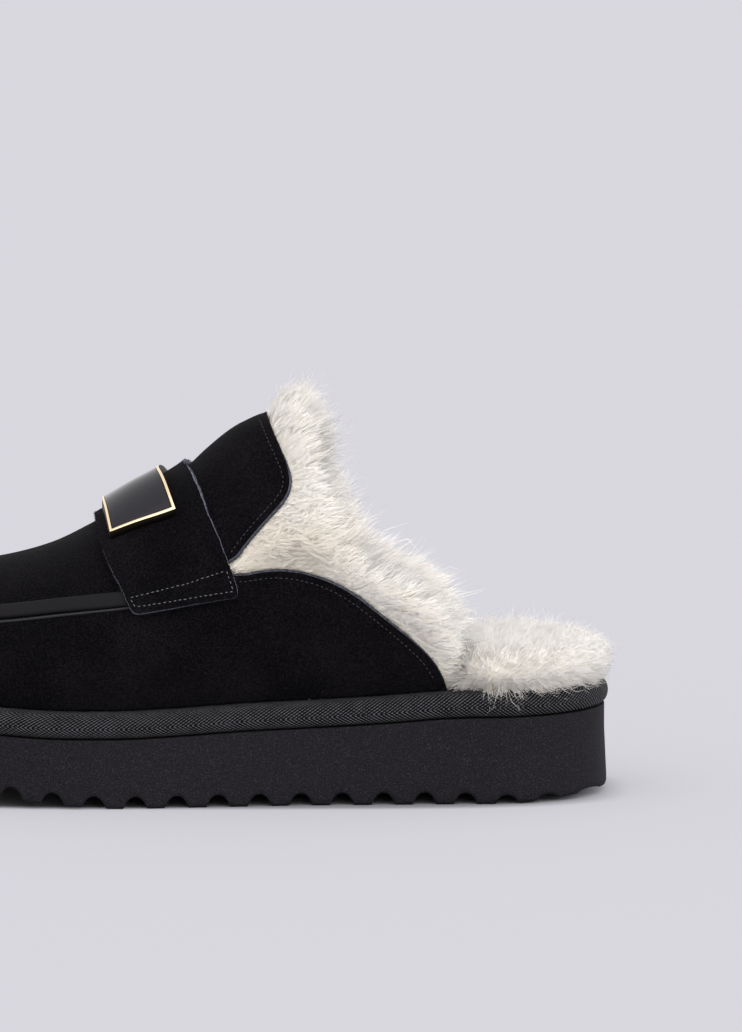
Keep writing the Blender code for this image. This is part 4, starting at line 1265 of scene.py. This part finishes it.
def from_topline(points):
    """Distances past the cut edge for an array of points, and the ways straight off the edge there, as x and
    z."""
    runs, levels = side_view(points)
    nearest = np.full(len(points), 1.0)
    away = np.zeros((len(points), 2))
    for (ax, az), (bx, bz) in zip(topline, topline[1:]):
        span = max(1e-12, (bx - ax) ** 2 + (bz - az) ** 2)
        t = np.clip(((runs - ax) * (bx - ax) + (levels - az) * (bz - az)) / span, 0.0, 1.0)
        off = np.stack([-(runs - ax - t * (bx - ax)), levels - az - t * (bz - az)], axis=1)
        distance = np.hypot(off[:, 0], off[:, 1])
        closer = distance < nearest
        nearest[closer] = distance[closer]
        away[closer] = off[closer] / np.maximum(1e-9, distance[closer])[:, None]
    inside = np.zeros(len(points), bool)
    for (ax, az), (bx, bz) in zip(behind, behind[1:] + behind[:1]):
        if az != bz:
            inside ^= ((az > levels) != (bz > levels)) & (runs < ax + (bx - ax) * (levels - az) / (bz - az))
    sign = np.where(inside, 1.0, -1.0)
    return nearest * sign, away * sign[:, None]


def clear_of_suede(points):
    """Tells which points lie off the suede in side view, or belong to wool on the inside of the shoe."""
    return (from_topline(points)[0] > SUEDE_CLEARANCE) | wool_inside


rng = np.random.default_rng(23)
roots, normals, lengths = scatter(lining, LINING_STRANDS, rng)
free, away = from_topline(roots)
wool_inside = roots[:, 1] * normals[:, 1] + (roots[:, 2] - LINING_AXIS) * normals[:, 2] < 0
height = np.clip((roots[:, 2] - CUFF_FOOT) / CUFF_HEIGHT, 0, 1)
flow = np.stack([0.75 - 0.25 * height, 0.0 * height, -0.10 + 0.60 * height ** 1.5], axis=1)
edge_pull = EDGE_PULL * np.clip(1 - free / EDGE_PULL_REACH, 0, 1) * ~wool_inside
flow[:, 0] += edge_pull * away[:, 0]
flow[:, 2] += edge_pull * away[:, 1]
runs, levels = side_view(roots)
# Round the notch behind the strap the wool is tinted warmer and darker: painted shade in that recess.
off_notch = np.hypot((runs - NOTCH_RUN) / NOTCH_REACH[0], (levels - NOTCH_LEVEL) / NOTCH_REACH[1])
grow_wool(
    "cuff_wool", "lining_fleece", roots, CUFF_OUTWARD * normals + flow, normals, lengths, rng, pieces=4,
    clear=clear_of_suede, painted_shade=np.clip(1.5 - off_notch, 0, NOTCH_SHADE),
)

# Seam band: a smooth charcoal leather strip over the seam between wall and apron, from under the strap round
# the toe and back. A thin paler welt shows along its lower edge.

TRIM_START = 0.600
TRIM_WIDTH = 0.0056
TRIM_THICKNESS = 0.0012
BAND_SEAT = 0.0002
WELT_WIDTH = 0.0008
WELT_THICKNESS = 0.0007
LEATHER_COLOUR = (0.0050, 0.0044, 0.0054)
WELT_COLOUR = (0.009, 0.0085, 0.010)
TRIM_STEPS = 90
# Rows of both sections, each a share across and a share of the thickness.
trim_section = [(-0.50, 0.0), (-0.50, 0.35), (-0.46, 0.70), (-0.38, 0.93), (-0.25, 1.0), (0.0, 1.06)]
trim_section += [(0.25, 1.0), (0.38, 0.93), (0.46, 0.70), (0.50, 0.35), (0.50, 0.0)]
welt_section = [(-0.50, 0.0), (-0.42, 0.75), (-0.15, 1.0), (0.15, 1.0), (0.42, 0.75), (0.50, 0.0)]


def trim_route(drop=0.0):
    """Both halves of a line along the seam, or that far below it: points and frames from strap to strap."""
    half = []
    for k in range(TRIM_STEPS + 1):
        run = mix(TRIM_START * SOLE_LENGTH, FRONT + drop, math.sin(0.5 * math.pi * k / TRIM_STEPS))
        half.append((run, angle_at(run, along(SEAM, "level", run / SOLE_LENGTH) * INSTEP_RISE - drop)))
    half[-1] = (half[-1][0], math.pi / 2)
    return half + [(run, math.pi - angle) for run, angle in half[-2::-1]]


def trim_strip(name, route, section, width, thickness, seat, material):
    """A strip of one section along a route on the upper."""
    centre = [skin(run, angle) for run, angle in route]

    def strip_point(u, v):
        k = round(u * (len(route) - 1))
        across, height = section[round(v * (len(section) - 1))]
        ahead = centre[min(k + 1, len(centre) - 1)] - centre[max(k - 1, 0)]
        up = skin_normal(*route[k])
        side = up.cross(ahead).normalized()
        return centre[k] + side * (across * width) + up * (seat + height * thickness)

    bm = grid_surface(len(route) - 1, len(section) - 1, strip_point)
    bmesh.ops.recalc_face_normals(bm, faces=bm.faces)
    piece = finish_mesh(bm, name, material, 60)
    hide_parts("apron_trim")


leather, tree, shader = new_material("charcoal leather", 0.60, LEATHER_COLOUR, 0.10)
grain = add_node(tree, "ShaderNodeTexVoronoi", {"Scale": 1500})
tree.links.new(object_place(tree), grain.inputs["Vector"])
bump(tree, shader, grain.outputs["Distance"], 0.25, 0.0002)
welt_paint, tree, shader = new_material("pale welt", 0.8, WELT_COLOUR)
bump(tree, shader, noise(tree, 1500, 2.0), 0.5, 0.0002)
welt_route = trim_route(0.5 * (TRIM_WIDTH + WELT_WIDTH))
trim_strip("seam_band", trim_route(), trim_section, TRIM_WIDTH, TRIM_THICKNESS, BAND_SEAT, leather)
trim_strip("seam_welt", welt_route, welt_section, WELT_WIDTH, WELT_THICKNESS, 0.0, welt_paint)

# Saddle strap: black suede across the instep from side to side, with rounded lower corners, raw grey edges
# that are not quite straight and carry a painted highlight, and a box of stitches that holds each end to
# the wall.

STRAP_THICKNESS = 0.0024
STRAP_CORNER = 0.0028
STRAP_EDGE_ROUND = 0.0005
CREST_SOFTNESS = 0.16
STRAP_FOOT_FRONT = 0.334
STRAP_FOOT_REAR = 0.377
STRAP_CLIMBS = 120
STRAP_WIDTHS = 30
EDGE_WAVER = 0.00007
STRAP_RAW_EDGE_AND_HIGHLIGHT = (0.200, 0.205, 0.260)
STRAP_THREAD = (0.085, 0.087, 0.095)
BOX_SIDE_POINTS = 24
Strap = namedtuple("Strap", "climb front rear")
STRAP = [
    Strap(0.0, 0.617, 0.477),
    Strap(0.5, 0.656, 0.524),
    Strap(1.0, 0.670, 0.553),
]


def strap_edge(column, rise):
    """Station of the strap's front or rear edge at a share of the way up to the crest."""
    flat = math.hypot(1 - rise, CREST_SOFTNESS) - CREST_SOFTNESS
    return along(STRAP, column, 1 - flat / (math.hypot(1.0, CREST_SOFTNESS) - CREST_SOFTNESS))


def strap_foot(across):
    """Angle at which the strap ends on the wall."""
    run = mix(STRAP[0].front, STRAP[0].rear, across) * SOLE_LENGTH
    return angle_at(run, mix(STRAP_FOOT_FRONT, STRAP_FOOT_REAR, across) * INSTEP_RISE)


def strap_place(climb, across):
    """Run and angle on the strap: climb from 0 at its foot over the crest at 1 to the other foot at 2, and
    across from 0 at its front edge to 1 at its rear edge."""
    rise = min(climb, 2 - climb)
    run = mix(strap_edge("front", rise), strap_edge("rear", rise), across) * SOLE_LENGTH
    return run, flipped(mix(strap_foot(across), math.pi / 2, rise), -1 if climb <= 1 else 1)


def strap_point(u, v):
    climb = 2 * crowded(u)
    rise = min(climb, 2 - climb)
    corner_climb = STRAP_CORNER / (0.9 * INSTEP_RISE)
    width = (strap_edge("front", rise) - strap_edge("rear", rise)) * SOLE_LENGTH
    pull = STRAP_CORNER * (1 - rounded(rise / corner_climb, 2.0)) / width
    waver = EDGE_WAVER / width * (math.sin(61 * u) + math.sin(143 * u + 1.0) + 0.7 * math.sin(277 * u + 2.0))
    across = mix(pull, 1 - pull, crowded(v)) + waver * (2 * v - 1)
    run, angle = strap_place(climb, across)
    return skin(run, angle, -(GAP + STRAP_THICKNESS))


bm = grid_surface(STRAP_CLIMBS, STRAP_WIDTHS, strap_point)
# The strap's cut edge is painted paler than the wall's: a stronger painted highlight on the same raw hide.
strap_raw_edge_and_highlight = raw_hide_and_highlight("raw edge of the strap with painted highlight", STRAP_RAW_EDGE_AND_HIGHLIGHT)
strap = suede_panel(bm, "strap", "saddle_strap", STRAP_THICKNESS, STRAP_EDGE_ROUND, strap_raw_edge_and_highlight, 33)
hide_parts("saddle_strap")

# Corners of the box of stitches on the strap, each a climb and a share across.
box_corners = [(0.036, 0.050), (0.088, 0.035), (0.106, 0.957), (0.024, 0.957), (0.036, 0.050)]
box_spans = []
for flip in (False, True):
    for (climb_a, across_a), (climb_b, across_b) in zip(box_corners, box_corners[1:]):
        line = []
        for k in range(BOX_SIDE_POINTS + 1):
            share = k / BOX_SIDE_POINTS
            climb, across = mix(climb_a, climb_b, share), mix(across_a, across_b, share)
            run, angle = strap_place(2 - climb if flip else climb, across)
            line.append((skin(run, angle, -(GAP + STRAP_THICKNESS)), skin_normal(run, angle)))
        box_spans += seam_spans(line)
sewing = sew("strap_stitches", box_spans, thread_material("grey thread", 0.6, STRAP_THREAD, 0.5))

# Plaque: a pale gold frame curved over the strap's crest, with a dark grey enamel inlay that stands almost
# flush with its rim. The frame is cast with a flat rim, plain sides and a shallow tray.

PLAQUE_WIDTH = 0.0505
PLAQUE_THICKNESS = 0.0028
PLAQUE_RIM = 0.0008
PLAQUE_TRAY = 0.0009
PLAQUE_SEAT = 0.0004
PLAQUE_EDGE_ROUND = 0.00018
INLAY_DROP = 0.0002
INLAY_LIFT = 0.0002
INLAY_CLEARANCE = 0.0002
INLAY_EDGE_ROUND = 0.00025
PLAQUE_FRONT = 0.090
PLAQUE_REAR = 0.725
GOLD_COLOUR = (0.82, 0.66, 0.42)
SIDE_GOLD_IN_SHADE = (0.020, 0.016, 0.011)
ENAMEL_COLOUR = (0.019, 0.018, 0.021)
plaque_length = (STRAP[-1].front - STRAP[-1].rear) * SOLE_LENGTH * (PLAQUE_REAR - PLAQUE_FRONT)


def plaque_place(share, y):
    """Run and angle on the plaque: a share from its front edge, and a distance from its middle to the inner
    side."""
    run = strap_place(1.0, mix(PLAQUE_FRONT, PLAQUE_REAR, share))[0]
    foot = strap_foot(0.5)
    for _ in range(6):
        power = 2 / along(RIDGE, "squareness", run / SOLE_LENGTH)
        reach = min(0.99, abs(y) / half_width(run, UPPER_INSET - STRAP_THICKNESS))
        angle = math.acos(reach ** (1 / power))
        climb = min(1.0, (angle - foot) / (math.pi / 2 - foot))
        run = strap_place(climb, mix(PLAQUE_FRONT, PLAQUE_REAR, share))[0]
    return run, flipped(angle, y)


def bend_over_strap(bm):
    """Moves a flat piece on to the strap. It is modelled along X, with its width along Y and its foot at 0."""
    base = GAP + STRAP_THICKNESS + PLAQUE_SEAT
    for vert in bm.verts:
        run, angle = plaque_place(vert.co.x / plaque_length + 0.5, vert.co.y)
        vert.co = skin(run, angle, -(base + vert.co.z))


def raise_faces(bm, faces, by, keep=False):
    """Extrudes faces and moves what is new straight up, or down."""
    moved = bmesh.ops.extrude_face_region(bm, geom=faces, use_keep_orig=keep)["geom"]
    bmesh.ops.translate(bm, vec=(0, 0, by), verts=[v for v in moved if isinstance(v, bmesh.types.BMVert)])


def flat_slab(length, width, low, high):
    """A flat slab, divided finely along its width so that it can be bent."""
    bm = bmesh.new()
    bmesh.ops.create_grid(bm, x_segments=8, y_segments=48, size=0.5)
    bmesh.ops.scale(bm, vec=(length, width, 1.0), verts=bm.verts)
    bmesh.ops.translate(bm, vec=(0, 0, low), verts=bm.verts)
    raise_faces(bm, bm.faces[:], high - low, keep=True)
    bmesh.ops.recalc_face_normals(bm, faces=bm.faces)
    return bm


def round_edges(bm, offset):
    """Rounds a slab's sharp edges."""
    edges = [edge for edge in bm.edges if edge.is_manifold and edge.calc_face_angle() > 1.0]
    bmesh.ops.bevel(bm, geom=edges, offset=offset, segments=2, profile=0.5, affect="EDGES", material=-1)


# The frame is one gold; its sides take a near-black copy of it, painted shade and painted dark reflection on
# them.
shaded_side_gold = new_material("frame side gold in painted shade", 0.50, SIDE_GOLD_IN_SHADE, metallic=1.0)[0]
gold, tree, shader = new_material("pale gold", 0.24, GOLD_COLOUR, metallic=1.0)
bump(tree, shader, noise(tree, 500, 2.0), 0.05, 0.0003)
bm = flat_slab(plaque_length, PLAQUE_WIDTH, 0.0, PLAQUE_THICKNESS)
# Faces that don't face up get the gold in painted shade.
for face in bm.faces:
    face.material_index = 0 if face.normal.z > 0.5 else 1
top = [face for face in bm.faces if face.normal.z > 0.5]
rim_faces = set(bmesh.ops.inset_region(bm, faces=top, thickness=PLAQUE_RIM, use_even_offset=True)["faces"])
tray = [face for face in bm.faces if face.normal.z > 0.5 and face not in rim_faces]
raise_faces(bm, tray, PLAQUE_TRAY - PLAQUE_THICKNESS)
bmesh.ops.delete(bm, geom=[face for face in tray if face.is_valid], context="FACES")
bmesh.ops.recalc_face_normals(bm, faces=bm.faces)
round_edges(bm, PLAQUE_EDGE_ROUND)
bend_over_strap(bm)
plaque = finish_mesh(bm, "plaque_rim", gold, 40)
plaque.data.materials.append(shaded_side_gold)
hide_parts("plaque_frame")

enamel = new_material("dark grey enamel", 0.16, ENAMEL_COLOUR, 0.09)[0]
inlay_length = plaque_length - 2 * PLAQUE_RIM - INLAY_CLEARANCE
inlay_width = PLAQUE_WIDTH - 2 * PLAQUE_RIM - INLAY_CLEARANCE
bm = flat_slab(inlay_length, inlay_width, PLAQUE_TRAY + INLAY_LIFT, PLAQUE_THICKNESS - INLAY_DROP)
round_edges(bm, INLAY_EDGE_ROUND)
bend_over_strap(bm)
inlay = finish_mesh(bm, "enamel_inlay", enamel, 40)
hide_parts("plaque_inlay")
